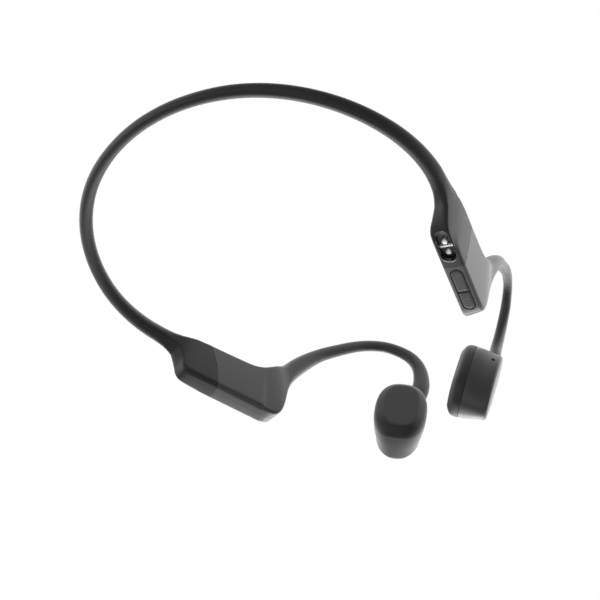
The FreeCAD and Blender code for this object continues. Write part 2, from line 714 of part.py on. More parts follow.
# ---- multifunction button on the left pod
b = new_body("multifunction_button", pplace(-1))
sk = sketch(b, "button_outline", "XY_Plane", stadium(0, 0, 9.3, 4.7), pod_t / 2 - 1.55, "button_back_level")
p = pad(b, "button_pad", sk, "button_height", 1.6)
doc.recompute()
fillet(b, p, "button_edge", edges_at(p.Shape, lambda q: abs(q.z - (pod_t / 2 + 0.05)) < 1e-4), "button_edge_radius", 0.5)
box("button_switch", pplace(-1, -1.5, -1.5, pod_t / 2 - 2.75), 3.0, 3.0, 0.6)
box("button_board", pplace(-1, -4.4, -2.3, pod_t / 2 - 3.3), 8.8, 4.6, 0.5)

# ---------------------------------------------------------------- ear hooks
HOOK = [
    # centre point, width across the hook's plane, depth in it
    (hp(1, 33.55, 3.1, 7.25), 5.4, 5.3),
    (hp(1, 37.2, 3.1, 13.4), 4.7, 4.1),
    (W(38.7, 113.3, 20.7), 4.0, 4.0),
    (W(33.6, 121.6, 30.1), 3.0, 3.7),
    (W(30.6, 126.7, 34.5), 2.8, 3.55),
    (W(26.0, 133.1, 37.1), 2.7, 3.6),
    (W(23.2, 136.4, 36.6), 2.8, 3.7),
    (W(20.4, 139.4, 34.8), 3.0, 3.9),
    (W(17.7, 141.8, 30.4), 3.1, 4.35),
    (W(16.3, 142.7, 25.0), 3.2, 5.0),
    (W(15.8, 142.7, 19.5), 3.5, 5.6),
    (W(16.6, 141.9, 14.0), 4.0, 6.0),
    (W(17.6, 141.0, 9.5), 4.4, 6.2),
]
for side, name in ((1, "right"), (-1, "left")):
    pts = [V(side * p.x, p.y, p.z) for p, a, b in HOOK]
    secs = []
    lateral0 = V(side * 0.80, 0.60, 0)
    line = Part.BSplineCurve()
    line.interpolate(Points=pts)
    u0, u1 = line.FirstParameter, line.LastParameter
    marks = [line.parameter(p) for p in pts]
    rows = [(u,) + HOOK[i][1:] for i, u in enumerate(marks)]
    count = 44
    for i in range(count + 1):
        u = u0 + (u1 - u0) * i / count
        p = line.value(u)
        tg = line.tangent(u)[0]
        a, b = table(rows, u)
        blend = min(1.0, i / 8.0)
        # the joint with the housing is the plane of the shells' front cut
        n0 = hp(side, 4.1, 0, 3.5) - hp(side, 0, 0, 0)
        n0.normalize()
        d = n0 * (1 - blend) + tg * blend
        d.normalize()
        lat = V(side * cos_h, sin_h, 0) * (1 - blend) + lateral0 * blend
        lat = lat - d * lat.dot(d)
        lat.normalize()
        secs.append(ellipse_wire(p, lat, a / 2, d.cross(lat), b / 2, power=2.3))
    hook = loft(secs)
    # the hook's end is shaped to the pod's shell
    env = Part.Face(Part.Wire([k.toShape() for k in oval(pod_hw * 0.955 + 0.02, pod_hh * 0.955 + 0.02)])).extrude(V(0, 0, pod_t))
    env.Placement = pplace(side, a=-pod_t / 2)
    hook = hook.cut(env)
    if len(hook.Solids) > 1:
        hook = sorted(hook.Solids, key=lambda s: -s.Volume)[0]
    core = pts[:11]
    core = [pts[0] + (pts[1] - pts[0]) * 0.14] + core[1:]
    # wire on the outside of the bend, cable on the inside
    def shifted(k):
        out = []
        for i in range(len(core)):
            a_, b_ = core[max(0, i - 1)], core[min(len(core) - 1, i + 1)]
            d = b_ - a_
            d.normalize()
            lat = lateral0 - d * lateral0.dot(d)
            lat.normalize()
            out.append(core[i] + d.cross(lat) * k * side)
        return out
    hw = tube(route(shifted(-0.8)), wire_d)
    hc = tube(route(shifted(0.75)), cable_d)
    feature(name + "_hook_sleeve", hook)
    feature(name + "_hook_wire", hw)
    feature(name + "_hook_cable", hc)

# ---------------------------------------------------------------- check and export
doc.recompute()
bad = []
for o in doc.Objects:
    st = [str(x) for x in o.State]
    if any(x in ("Invalid", "Error") for x in st):
        bad.append((o.Name, st))
total = None
for o in OUT:
    sh = o.Shape
    if sh.isNull() or not sh.isValid():
        bad.append((o.Label, "shape null or invalid"))
        continue
    bb = sh.BoundBox
    print("%-28s solids %d vol %8.1f  x %.1f..%.1f y %.1f..%.1f z %.1f..%.1f" % (o.Label, len(sh.Solids), sh.Volume, bb.XMin, bb.XMax, bb.YMin, bb.YMax, bb.ZMin, bb.ZMax))
    total = bb if total is None else total.united(bb)
print("total", total)
print("bad", bad)
if bad:
    raise SystemExit("some objects failed: %s" % bad)
for o in OUT:
    o.Shape.exportStep("parts/%s.step" % o.Label)
print(len(OUT), "sub-parts written")
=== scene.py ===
import bpy
import json
import math
import numpy as np
from mathutils import Vector, Matrix


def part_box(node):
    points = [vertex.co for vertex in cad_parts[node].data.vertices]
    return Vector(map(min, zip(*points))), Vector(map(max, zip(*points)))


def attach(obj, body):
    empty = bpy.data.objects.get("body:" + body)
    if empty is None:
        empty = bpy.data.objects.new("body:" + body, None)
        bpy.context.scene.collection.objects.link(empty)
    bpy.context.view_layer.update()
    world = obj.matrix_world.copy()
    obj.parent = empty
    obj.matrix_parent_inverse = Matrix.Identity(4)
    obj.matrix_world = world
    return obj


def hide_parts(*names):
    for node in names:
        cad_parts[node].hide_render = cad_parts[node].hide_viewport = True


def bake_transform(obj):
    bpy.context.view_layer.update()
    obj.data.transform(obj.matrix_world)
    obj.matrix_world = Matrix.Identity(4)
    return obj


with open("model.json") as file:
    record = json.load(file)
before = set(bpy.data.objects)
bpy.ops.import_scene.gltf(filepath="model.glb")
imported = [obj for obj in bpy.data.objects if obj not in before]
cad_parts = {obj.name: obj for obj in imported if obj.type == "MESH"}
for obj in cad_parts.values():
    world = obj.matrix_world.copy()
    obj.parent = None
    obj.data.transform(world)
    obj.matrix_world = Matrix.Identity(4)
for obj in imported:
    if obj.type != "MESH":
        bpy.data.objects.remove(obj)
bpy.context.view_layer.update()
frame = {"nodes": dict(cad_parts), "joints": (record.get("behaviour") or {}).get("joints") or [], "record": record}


# ------------------------------------------------------------------ frames
flex = [j for j in frame["joints"] if j["name"] == "neckband_flex"][0]
OFF = np.array([0.0, flex["pos_m"][1] * 1000, flex["pos_m"][2] * 1000])
ANG = math.radians(20.92)
SN, CS = math.sin(ANG), math.cos(ANG)


def W(p):
    """Band-frame millimetres (origin at the rear centre of the band) to row-frame metres."""
    return (np.asarray(p, float) + OFF) * 0.001


def hp(side, s, t, z):
    """Housing coordinates: s forward, t outward from the inner face, z up; band-frame millimetres."""
    s, t, z = np.asarray(s, float), np.asarray(t, float), np.asarray(z, float)
    return np.stack([side * (50.6 - SN * s + CS * t), 73.5 + CS * s + SN * t, z + 0 * s], -1)


def unit(v):
    v = np.asarray(v, float)
    return v / (np.linalg.norm(v) + 1e-12)


# the neckband's centreline, seen from above: arcs of (radius, angle), then straight into the housing
ARCS = [(65.926, 0.393), (55.748, 0.415), (55.654, 0.479), (41.423, 0.650)]


def band_at(q):
    x = y = h = 0.0
    left = abs(q)
    for r, a in ARCS:
        L = r * a
        d = min(left, L)
        da = d / r
        x += r * (math.sin(h + da) - math.sin(h))
        y += r * (math.cos(h) - math.cos(h + da))
        h += da
        left -= d
        if left <= 0:
            return x, y, h
    x += left * math.cos(h)
    y += left * math.sin(h)
    return x, y, h


BAND_END = sum(r * a for r, a in ARCS)


def catmull(rows, u):
    """Smooth interpolation of a table whose first column is the parameter."""
    rows = np.asarray(rows, float)
    k = rows[:, 0]
    u = float(np.clip(u, k[0], k[-1]))
    i = int(np.clip(np.searchsorted(k, u, side="right") - 1, 0, len(k) - 2))
    h = k[i + 1] - k[i]
    t = (u - k[i]) / h
    y0, y1 = rows[i, 1:], rows[i + 1, 1:]

    def slope(j):
        if j <= 0:
            return (rows[1, 1:] - rows[0, 1:]) / (k[1] - k[0])
        if j >= len(k) - 1:
            return (rows[-1, 1:] - rows[-2, 1:]) / (k[-1] - k[-2])
        a = (rows[j, 1:] - rows[j - 1, 1:]) / (k[j] - k[j - 1])
        b = (rows[j + 1, 1:] - rows[j, 1:]) / (k[j + 1] - k[j])
        m = np.where(a * b > 0, 2 * a * b / np.where(np.abs(a + b) < 1e-12, 1, a + b), 0.0)
        return m

    m0, m1 = slope(i) * h, slope(i + 1) * h
    return (2 * t**3 - 3 * t**2 + 1) * y0 + (t**3 - 2 * t**2 + t) * m0 + (-2 * t**3 + 3 * t**2) * y1 + (t**3 - t**2) * m1


# ------------------------------------------------------------------ rings
Q = 22          # points per quarter of a ring


def rounded_ring(corners, radii, marks, crown=0.0):
    """corners: 3-D points in order; radii per corner; marks: edge indices (edge i joins corner i to i+1) whose midpoints are the
    four landmarks. Returns 4*Q points, closer together where the outline turns."""
    c = [np.asarray(p, float) for p in corners]
    n = len(c)
    centre = sum(c) / n
    segs = []
    starts, ends = [], []
    for i in range(n):
        a, b, d = c[i - 1], c[i], c[(i + 1) % n]
        la, lb = np.linalg.norm(a - b), np.linalg.norm(d - b)
        ua, ub = (a - b) / (la + 1e-9), (d - b) / (lb + 1e-9)
        cosang = float(np.clip(np.dot(ua, ub), -0.9999, 0.9999))
        half = math.acos(cosang) / 2
        tang = radii[i] / math.tan(half)
        tang = min(tang, la * 0.485, lb * 0.485)
        p0, p1 = b + ua * tang, b + ub * tang
        k = tang * (1 - 0.5523 * (1 if half > 0.6 else 1.0))
        c0, c1 = b + ua * k, b + ub * k
        ts = np.linspace(0, 1, 26)[:, None]
        arc = (1 - ts)**3 * p0 + 3 * (1 - ts)**2 * ts * c0 + 3 * (1 - ts) * ts**2 * c1 + ts**3 * p1
        segs.append(arc)
        starts.append(p0)
        ends.append(p1)
    dense, landmark = [], {}
    for i in range(n):
        dense.extend(segs[i][:-1])
        e0, e1 = segs[i][-1], segs[(i + 1) % n][0]
        m = 20
        L = np.linalg.norm(e1 - e0)
        mid = (e0 + e1) / 2
        outw = unit(mid - centre)
        along = unit(e1 - e0)
        outw = unit(outw - along * np.dot(outw, along))
        for j in range(m):
            f = j / m
            if j == m // 2 and i in marks:
                landmark[marks.index(i)] = len(dense)
            dense.append(e0 + (e1 - e0) * f + outw * crown * min(1.0, L / 8.0) * 4 * f * (1 - f))
    dense = np.array(dense)
    return quarter(dense, [landmark[k] for k in range(4)])


def quarter(dense, lm):
    M = len(dense)
    out = []
    for k in range(4):
        a, b = lm[k], lm[(k + 1) % 4]
        if b <= a:
            b += M
        pts = dense[np.arange(a, b + 1) % M]
        d = np.diff(pts, axis=0)
        L = np.linalg.norm(d, axis=1) + 1e-9
        ud = d / L[:, None]
        turn = np.arccos(np.clip((ud[1:] * ud[:-1]).sum(1), -1, 1))
        w = L / L.sum()
        tt = np.zeros(len(L))
        tt[:-1] += turn / 2
        tt[1:] += turn / 2
        tt = tt / (tt.sum() + 1e-9)
        cum = np.concatenate([[0], np.cumsum(0.42 * w + 0.58 * tt)])
        cum /= cum[-1]
        u = np.arange(Q) / Q
        for ax in range(3):
            pass
        out.append(np.stack([np.interp(u, cum, pts[:, ax]) for ax in range(3)], 1))
    return np.concatenate(out)


def ellipse_ring(centre, e_out, e_up, a, b, tilt=0.0, power=2.2):
    """Superellipse; landmarks at its outermost, lowest, innermost and highest points."""
    m1 = e_out * math.cos(tilt) + e_up * math.sin(tilt)
    m2 = e_up * math.cos(tilt) - e_out * math.sin(tilt)
    th = -np.linspace(0, 2 * math.pi, 720, endpoint=False)
    c, s = np.cos(th), np.sin(th)
    x = np.sign(c) * np.abs(c) ** (2 / power) * a
    y = np.sign(s) * np.abs(s) ** (2 / power) * b
    pts = centre + x[:, None] * m1 + y[:, None] * m2
    rel = pts - centre
    o, u = rel @ e_out, rel @ e_up
    start = int(np.argmax(o))
    pts, o, u = np.roll(pts, -start, 0), np.roll(o, -start), np.roll(u, -start)
    return quarter(pts, [0, int(np.argmin(u)), int(np.argmin(o)), int(np.argmax(u))])


# ------------------------------------------------------------------ housing sections
#   outer top (s, z, t) | outer ridge (s, z, t) | outer bottom (s, z, t) | inner bottom (s, z, t) | inner top (s, z, t)
REAR = [
    [-6.6, -6.4, 2.75, 5.85, -6.5, -0.5, 6.15, -6.9, -3.75, 4.9, -6.2, -2.3, 1.55, -6.0, 1.35, 1.15],
    [-4.6, -3.8, 3.35, 6.25, -3.8, 0.0, 6.3, -5.1, -5.1, 5.0, -3.5, -3.0, 0.95, -3.4, 1.35, 0.55],
    [-3.0, -1.8, 3.8, 6.5, -1.8, -0.4, 6.35, -3.7, -7.4, 5.1, -2.1, -4.8, 0.45, -1.6, 1.4, 0.1],
    [-1.4, 0.2, 4.1, 6.65, 0.3, -2.6, 6.35, -2.3, -10.1, 5.1, -1.2, -7.9, 0.0, 0.2, 1.55, -0.2],
    [0.2, 1.8, 4.3, 6.7, 2.1, -6.2, 6.3, -1.1, -12.2, 5.2, -0.8, -11.0, -0.25, 1.7, 1.75, -0.35],
    [1.8, 3.3, 4.35, 6.7, 3.8, -9.3, 6.25, 0.7, -13.3, 5.3, 0.3, -12.95, -0.35, 3.1, 1.85, -0.4],
    [3.6, 4.9, 4.35, 6.7, 5.7, -11.6, 6.25, 3.0, -13.45, 5.35, 2.5, -13.4, -0.35, 4.8, 1.9, -0.4],
    [6.0, 7.0, 4.32, 6.7, 7.6, -12.5, 6.25, 6.1, -13.45, 5.4, 5.6, -13.45, -0.35, 6.9, 1.95, -0.4],
    [9.0, 9.4, 4.27, 6.7, 9.6, -12.75, 6.25, 9.0, -13.45, 5.6, 8.8, -13.45, -0.35, 9.4, 2.0, -0.4],
]
FRONT = [
    [14.0, 14.0, 4.17, 6.7, 14.0, -12.8, 6.25, 14.0, -13.45, 5.6, 14.0, -13.45, -0.35, 14.0, 2.15, -0.4],
    [18.0, 18.0, 4.15, 6.7, 18.0, -12.8, 6.25, 18.0, -13.45, 5.6, 18.0, -13.45, -0.35, 18.0, 2.45, -0.4],
    [22.0, 22.0, 4.2, 6.7, 22.2, -12.8, 6.25, 22.3, -13.45, 5.6, 22.3, -13.45, -0.35, 22.0, 2.9, -0.4],
    [25.0, 25.0, 4.75, 6.7, 26.0, -12.8, 6.25, 26.4, -13.45, 5.6, 26.6, -13.45, -0.35, 25.0, 4.0, -0.4],
    [27.2, 26.9, 5.35, 6.7, 29.0, -12.8, 6.25, 29.6, -13.45, 5.6, 30.2, -13.45, -0.35, 26.9, 5.25, -0.4],
    [29.0, 28.1, 6.05, 6.65, 31.0, -12.45, 6.25, 31.6, -13.05, 5.6, 32.3, -13.15, -0.35, 28.1, 6.3, -0.4],
    [30.6, 29.0, 6.7, 6.6, 32.2, -11.5, 6.25, 32.8, -12.0, 5.6, 33.9, -12.2, -0.35, 28.8, 7.1, -0.35],
    [32.2, 29.7, 7.25, 6.5, 33.0, -9.8, 6.25, 33.6, -10.1, 5.6, 34.9, -10.4, -0.3, 29.4, 7.8, -0.3],
    [34.2, 30.3, 7.8, 6.4, 33.5, -7.3, 6.2, 34.1, -7.4, 5.6, 35.4, -7.8, -0.15, 29.9, 8.45, -0.2],
    [36.6, 30.8, 8.3, 6.25, 33.85, -4.2, 6.15, 34.45, -4.1, 5.55, 35.65, -4.4, 0.0, 30.3, 9.05, -0.1],
    [39.0, 31.25, 8.75, 6.1, 34.2, -1.2, 6.05, 34.75, -1.0, 5.5, 35.75, -1.1, 0.2, 30.7, 9.55, 0.1],
    [41.2, 31.55, 9.1, 6.0, 34.6, 1.8, 5.95, 35.1, 1.9, 5.4, 35.8, 1.9, 0.45, 31.05, 9.85, 0.3],
    [43.6, 31.8, 9.4, 5.9, 35.1, 4.8, 5.85, 35.5, 5.0, 5.3, 35.75, 4.9, 0.6, 31.45, 10.05, 0.45],
]
ROWS = REAR + FRONT
#   parameter | radius at outer top, ridge, outer bottom, inner bottom, inner top | crown
RADII = [
    [-6.6, 1.9, 1.6, 1.9, 1.7, 1.6, 0.00],
    [-3.0, 1.6, 1.3, 1.4, 1.2, 1.1, 0.05],
    [0.2, 1.5, 1.1, 1.1, 1.0, 0.9, 0.08],
    [6.0, 1.5, 0.9, 0.9, 0.8, 0.9, 0.10],
    [14.0, 1.5, 0.8, 0.75, 0.8, 0.9, 0.10],
    [29.0, 1.5, 0.9, 0.9, 1.0, 1.1, 0.10],
    [36.6, 1.9, 1.4, 1.4, 1.5, 1.7, 0.08],
    [43.6, 2.4, 2.1, 2.1, 2.3, 2.4, 0.00],
]
SEAM = {
    1: [(-13.6, 13.1), (-8.0, 12.5), (-3.0, 12.0), (4.4, 11.2)],
    -1: [(-13.6, 12.3), (-11.4, 11.55), (-8.0, 10.8), (-5.0, 9.8), (-2.0, 8.45), (1.1, 6.9), (4.4, 5.6)],
}


for r_ in ROWS:
    k_ = float(np.clip((r_[0] + 8.0) / 12.0, 0, 1) * np.clip((40.0 - r_[0]) / 8.0, 0, 1))
    r_[3] += 0.40 * k_
    r_[12] -= 0.28 * k_


def seam_s(side, z):
    k = SEAM[side]
    return np.interp(z, [a for a, _ in k], [b for _, b in k])


def house_ring(side, u, inset=0.0):
    r = catmull(ROWS, u)
    rad = catmull(RADII, u)
    quad = [np.array([r[0], r[2], r[1]]), np.array([r[3], r[5], r[4]]), np.array([r[6], r[8], r[7]]),
            np.array([r[9], r[11], r[10]]), np.array([r[12], r[14], r[13]])]          # (s, t, z)
    if side < 0:
        k = float(np.clip((u + 1.0) / 4.0, 0, 1) * np.clip((36.5 - u) / 8.0, 0, 1))
        rad = rad.copy()
        rad[3] += 0.7 * k
        quad[3] = quad[3] + np.array([0.0, -0.2 * k, 0.0])
    if inset:
        c = sum(quad) / 5
        quad = [p + unit(c - p) * inset * 1.25 for p in quad]
    # edges: 0 outer face, 1 lower outer facet, 2 bottom, 3 inner face, 4 top
    ring = rounded_ring(quad, [max(0.25, x - inset * 0.7) for x in rad[:5]], [0, 2, 3, 4], float(rad[5]))
    return ring         # (s, t, z) rows


def relax(rings, i0, i1, times):
    """Evens out the run of every ring point between two rings."""
    rings = [np.array(r, float) for r in rings]
    for _ in range(times):
        new = {k: 0.5 * rings[k] + 0.25 * (rings[k - 1] + rings[k + 1]) for k in range(max(1, i0), min(len(rings) - 1, i1))}
        for k, v in new.items():
            rings[k] = v
    return rings


def back_to_housing(p):
    dx, dy = p[:, 0] - 50.6, p[:, 1] - 73.5
    return np.stack([-SN * dx + CS * dy, CS * dx + SN * dy, p[:, 2]], 1)


def to_world(side, ring):
    return W(hp(side, ring[:, 0], ring[:, 1], ring[:, 2]))


def new_mesh(name, verts, faces, angle=38.0):
    me = bpy.data.meshes.new(name)
    me.from_pydata([tuple(float(x) for x in v) for v in verts], [], [tuple(int(i) for i in f) for f in faces])
    me.validate()
    me.update()
    ob = bpy.data.objects.new(name, me)
    bpy.context.scene.collection.objects.link(ob)
    fix_normals(ob)
    smooth(ob, angle)
    return ob


def fix_normals(ob):
    import bmesh
    bm = bmesh.new()
    bm.from_mesh(ob.data)
    bmesh.ops.remove_doubles(bm, verts=bm.verts, dist=2e-7)
    bmesh.ops.recalc_face_normals(bm, faces=bm.faces)
    bm.to_mesh(ob.data)
    bm.free()


def smooth(ob, angle=38.0):
    for p in ob.data.polygons:
        p.use_smooth = True
    ob.data.set_sharp_from_angle(angle=math.radians(angle))


def loft_faces(count, n, base=0):
    f = []
    for k in range(count - 1):
        for i in range(n):
            a, b = base + k * n + i, base + k * n + (i + 1) % n
            f.append((a, b, b + n, a + n))
    return f


def loft_mesh(name, rings, cap0=True, cap1=True, angle=38.0):
    n = len(rings[0])
    verts = [p for r in rings for p in r]
    faces = loft_faces(len(rings), n)
    for end, want in ((0, cap0), (len(rings) - 1, cap1)):
        if want:
            c = np.mean(rings[end], 0)
            verts.append(c)
            k = len(verts) - 1
            for i in range(n):
                faces.append((end * n + i, end * n + (i + 1) % n, k))
    return new_mesh(name, verts, faces, angle)


def boolean(ob, cutter, op="DIFFERENCE", angle=38.0):
    m = ob.modifiers.new("cut", "BOOLEAN")
    m.object = cutter
    m.operation = op
    m.solver = "EXACT"
    bpy.context.view_layer.update()
    dg = bpy.context.evaluated_depsgraph_get()
    me = bpy.data.meshes.new_from_object(ob.evaluated_get(dg), preserve_all_data_layers=True, depsgraph=dg)
    ob.modifiers.clear()
    old = ob.data
    ob.data = me
    me.name = old.name
    smooth(ob, angle)
    return ob


def drop(ob):
    bpy.data.objects.remove(ob, do_unlink=True)


# ------------------------------------------------------------------ materials
def mat_nodes(name):
    m = bpy.data.materials.new(name)
    m.use_nodes = True
    t = m.node_tree
    t.nodes.clear()
    out = t.nodes.new("ShaderNodeOutputMaterial")
    b = t.nodes.new("ShaderNodeBsdfPrincipled")
    t.links.new(b.outputs["BSDF"], out.inputs["Surface"])
    return m, t, b


def noise(t, scale, detail=3.0, rough=0.55, stretch=None):
    co = t.nodes.new("ShaderNodeTexCoord")
    n = t.nodes.new("ShaderNodeTexNoise")
    n.inputs["Scale"].default_value = scale
    n.inputs["Detail"].default_value = detail
    n.inputs["Roughness"].default_value = rough
    if stretch is not None:
        mp = t.nodes.new("ShaderNodeMapping")
        mp.inputs["Scale"].default_value = stretch
        t.links.new(co.outputs["Object"], mp.inputs["Vector"])
        t.links.new(mp.outputs["Vector"], n.inputs["Vector"])
    else:
        t.links.new(co.outputs["Object"], n.inputs["Vector"])
    return n


def ramp(t, source, stops):
    r = t.nodes.new("ShaderNodeValToRGB")
    el = r.color_ramp.elements
    while len(el) < len(stops):
        el.new(0.5)
    for e, (p, c) in zip(el, stops):
        e.position = p
        e.color = (c[0], c[1], c[2], 1.0)
    t.links.new(source, r.inputs["Fac"])
    return r


def surface(name, color, vary=0.12, rough=(0.5, 0.6), grain=900.0, bump=0.04, bump_dist=0.00002, metal=0.0, spec=0.5,
            big=60.0, coat=0.0, coat_rough=0.1, sheen=0.0, stretch=None, sheen_rough=0.4):
    m, t, b = mat_nodes(name)
    lo = [c * (1 - vary) for c in color]
    hi = [c * (1 + vary) for c in color]
    n1 = noise(t, big, 4.0, 0.6)
    r1 = ramp(t, n1.outputs["Fac"], [(0.3, lo), (0.7, hi)])
    t.links.new(r1.outputs["Color"], b.inputs["Base Color"])
    n2 = noise(t, grain, 4.0, 0.6, stretch)
    r2 = ramp(t, n2.outputs["Fac"], [(0.25, (rough[0],) * 3), (0.75, (rough[1],) * 3)])
    t.links.new(r2.outputs["Color"], b.inputs["Roughness"])
    bp = t.nodes.new("ShaderNodeBump")
    bp.inputs["Strength"].default_value = bump
    bp.inputs["Distance"].default_value = bump_dist
    t.links.new(n2.outputs["Fac"], bp.inputs["Height"])
    t.links.new(bp.outputs["Normal"], b.inputs["Normal"])
    b.inputs["Metallic"].default_value = metal
    b.inputs["Specular IOR Level"].default_value = spec
    if coat:
        b.inputs["Coat Weight"].default_value = coat
        b.inputs["Coat Roughness"].default_value = coat_rough
    if sheen:
        b.inputs["Sheen Weight"].default_value = sheen
        b.inputs["Sheen Roughness"].default_value = sheen_rough
    return m


M = {}
M["sleeve_silicone"] = surface("sleeve_silicone", (0.016, 0.016, 0.0165), 0.10, (0.50, 0.60), 2600, 0.03, 0.00003, spec=0.36)
M["hook_silicone"] = surface("hook_silicone", (0.036, 0.036, 0.037), 0.08, (0.48, 0.58), 2600, 0.08, 0.00003, spec=0.45)
M["housing_plastic"] = surface("housing_plastic", (0.042, 0.042, 0.043), 0.07, (0.44, 0.54), 3200, 0.08, 0.00002, spec=0.5)
M["pad_silicone"] = surface("pad_silicone", (0.020, 0.020, 0.021), 0.09, (0.52, 0.64), 2600, 0.10, 0.00003, spec=0.40)
M["titanium_wire"] = surface("titanium_wire", (0.48, 0.46, 0.44), 0.08, (0.25, 0.40), 500, 0.10, 0.00002, metal=1.0, stretch=(1, 1, 8))
M["cable_jacket"] = surface("cable_jacket", (0.05, 0.05, 0.05), 0.15, (0.45, 0.6), 1500, 0.1)
M["seal_rubber"] = surface("seal_rubber", (0.035, 0.035, 0.036), 0.15, (0.6, 0.75), 1800, 0.12)
M["port_plastic"] = surface("port_plastic", (0.010, 0.010, 0.011), 0.15, (0.16, 0.24), 1500, 0.03, spec=0.6, coat=0.5, coat_rough=0.08)
M["contact_gold"] = surface("contact_gold", (0.93, 0.91, 0.86), 0.04, (0.34, 0.44), 1200, 0.06, metal=0.55)
M["magnet_metal"] = surface("magnet_metal", (0.62, 0.62, 0.63), 0.06, (0.18, 0.30), 700, 0.06, metal=1.0)
M["key_rubber"] = surface("key_rubber", (0.030, 0.030, 0.031), 0.10, (0.50, 0.62), 2400, 0.10, spec=0.45)
M["button_plastic"] = surface("button_plastic", (0.045, 0.045, 0.047), 0.10, (0.32, 0.44), 2000, 0.05)
M["circuit_board"] = surface("circuit_board", (0.012, 0.10, 0.045), 0.35, (0.30, 0.45), 1600, 0.15, big=420)
M["chip_black"] = surface("chip_black", (0.018, 0.018, 0.019), 0.2, (0.40, 0.55), 2400, 0.15)
M["shield_metal"] = surface("shield_metal", (0.62, 0.62, 0.61), 0.08, (0.28, 0.42), 900, 0.10, metal=1.0, stretch=(6, 1, 1))
M["battery_foil"] = surface("battery_foil", (0.55, 0.56, 0.58), 0.10, (0.30, 0.50), 260, 0.35, 0.00008, metal=0.9)
M["plate_plastic"] = surface("plate_plastic", (0.07, 0.07, 0.07), 0.12, (0.40, 0.55), 1800, 0.08)
M["spring_steel"] = surface("spring_steel", (0.56, 0.54, 0.50), 0.08, (0.25, 0.38), 800, 0.10, metal=1.0, stretch=(1, 9, 1))
M["yoke_steel"] = surface("yoke_steel", (0.46, 0.46, 0.46), 0.10, (0.30, 0.45), 700, 0.12, metal=1.0)
M["coil_copper"] = surface("coil_copper", (0.62, 0.26, 0.11), 0.15, (0.25, 0.40), 1100, 0.25, 0.00005, metal=1.0, stretch=(1, 1, 14))
M["legend_ink"] = surface("legend_ink", (0.075, 0.075, 0.076), 0.08, (0.40, 0.50), 2400, 0.05, spec=0.5)

slot_of = {sp["node"]: sp["material_slot"] for sp in frame["record"]["subparts"]}
for nm, ob in frame["nodes"].items():
    ob.data.materials.clear()
    ob.data.materials.append(M[slot_of[nm]])


def dress(ob, slot, body=None, nodes=()):
    ob.data.materials.clear()
    ob.data.materials.append(M[slot])
    if body:
        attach(ob, body)
    if nodes:
        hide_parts(*nodes)
    return ob


# ------------------------------------------------------------------ neckband and boots: one silicone moulding
BAND_ROWS = [   # q, half width, half height, tilt (rad), superellipse power, lift, outward shift
    [0.0, 1.80, 2.05, 0.0, 2.3, -0.22, 0.0],
    [14.0, 1.80, 2.05, 0.0, 2.3, -0.25, 0.0],
    [28.0, 1.86, 2.10, 0.25, 2.3, -0.28, 0.0],
    [45.0, 1.97, 2.17, 0.45, 2.3, -0.30, 0.0],
    [62.0, 2.03, 2.28, 0.50, 2.3, -0.25, 0.05],
    [80.0, 2.12, 2.42, 0.50, 2.3, -0.15, 0.15],
    [92.0, 2.25, 2.55, 0.46, 2.3, -0.05, 0.38],
    [BAND_END, 2.42, 2.75, 0.42, 2.3, 0.0, 0.62],
]


def band_ring(side, q):
    hw, hh, tilt, power, lift, shift = catmull(BAND_ROWS, q)
    x, y, h = band_at(q)
    hw += 0.08
    shift -= 0.06
    if side > 0:
        shift -= 0.38 * float(np.interp(q, [6.0, 38.0, 58.0, 76.0, 90.0, 97.0], [0.1, 0.7, 1.0, 0.9, 0.35, 0.1]))
    out = np.array([side * math.sin(h), -math.cos(h), 0.0])
    up = np.array([0.0, 0.0, 1.0])
    # the long axis leans outward at the top
    return ellipse_ring(np.array([side * x, y, lift]) + out * shift, out, up, hw, hh, -tilt, power)


def boot_rings(side, end_inset=True):
    """From the end of the band (s = -7.86) to the seam with the shells, band-frame mm."""
    rings = []
    first = band_ring(side, BAND_END)
    us = list(np.linspace(-6.6, 6.0, 30)) + list(np.linspace(6.6, 11.6, 9))
    u_end = us[-1]
    body = []
    for u in us:
        r = house_ring(side, u)
        f = np.clip((u - 2.0) / (u_end - 2.0), 0, 1)
        f = f * f * (3 - 2 * f)
        target = seam_s(side, r[:, 2]) - 0.06
        # the last ring follows the seam; earlier ones ease towards it
        r = r.copy()
        base_last = u_end
        r[:, 0] = r[:, 0] + f * (target - (r[:, 0] + (base_last - u) * 1.0)) * 1.0
        body.append(hp(side, r[:, 0], r[:, 1], r[:, 2]))
    # short blend from the band's last section to the first housing section
    a, b = first, body[0]
    for k in (0.33, 0.66):
        w = k * k * (3 - 2 * k)
        rings.append(a * (1 - w) + b * w)
    rings = [first] + rings + body
    # rounded lip and a face set back at the seam
    last = house_ring(side, u_end)
    for ins, ds in ((0.03, 0.02), (0.10, 0.045), (0.5, 0.045), (1.2, 0.0)):
        r = house_ring(side, u_end, ins)
        r = r.copy()
        r[:, 0] = seam_s(side, r[:, 2]) - 0.06 + ds
        rings.append(hp(side, r[:, 0], r[:, 1], r[:, 2]))
    return rings


def band_and_boots():
    right = boot_rings(1)[::-1]
    left = boot_rings(-1)
    qs = list(np.linspace(BAND_END, 0, 150))[1:]
    mid = [band_ring(1, q) for q in qs]
    mid += [band_ring(-1, q) for q in qs[::-1][1:]]
    rings = right + mid + left
    a, b = len(right) - 1, len(right) + len(mid)
    rings = relax(rings, a - 9, a + 7, 40)
    rings = relax(rings, b - 7, b + 9, 40)
    # every ring runs the same way round: outermost, lowest, innermost, highest
    return [(r + OFF) * 0.001 for r in rings]


band = loft_mesh("neckband_silicone", band_and_boots())


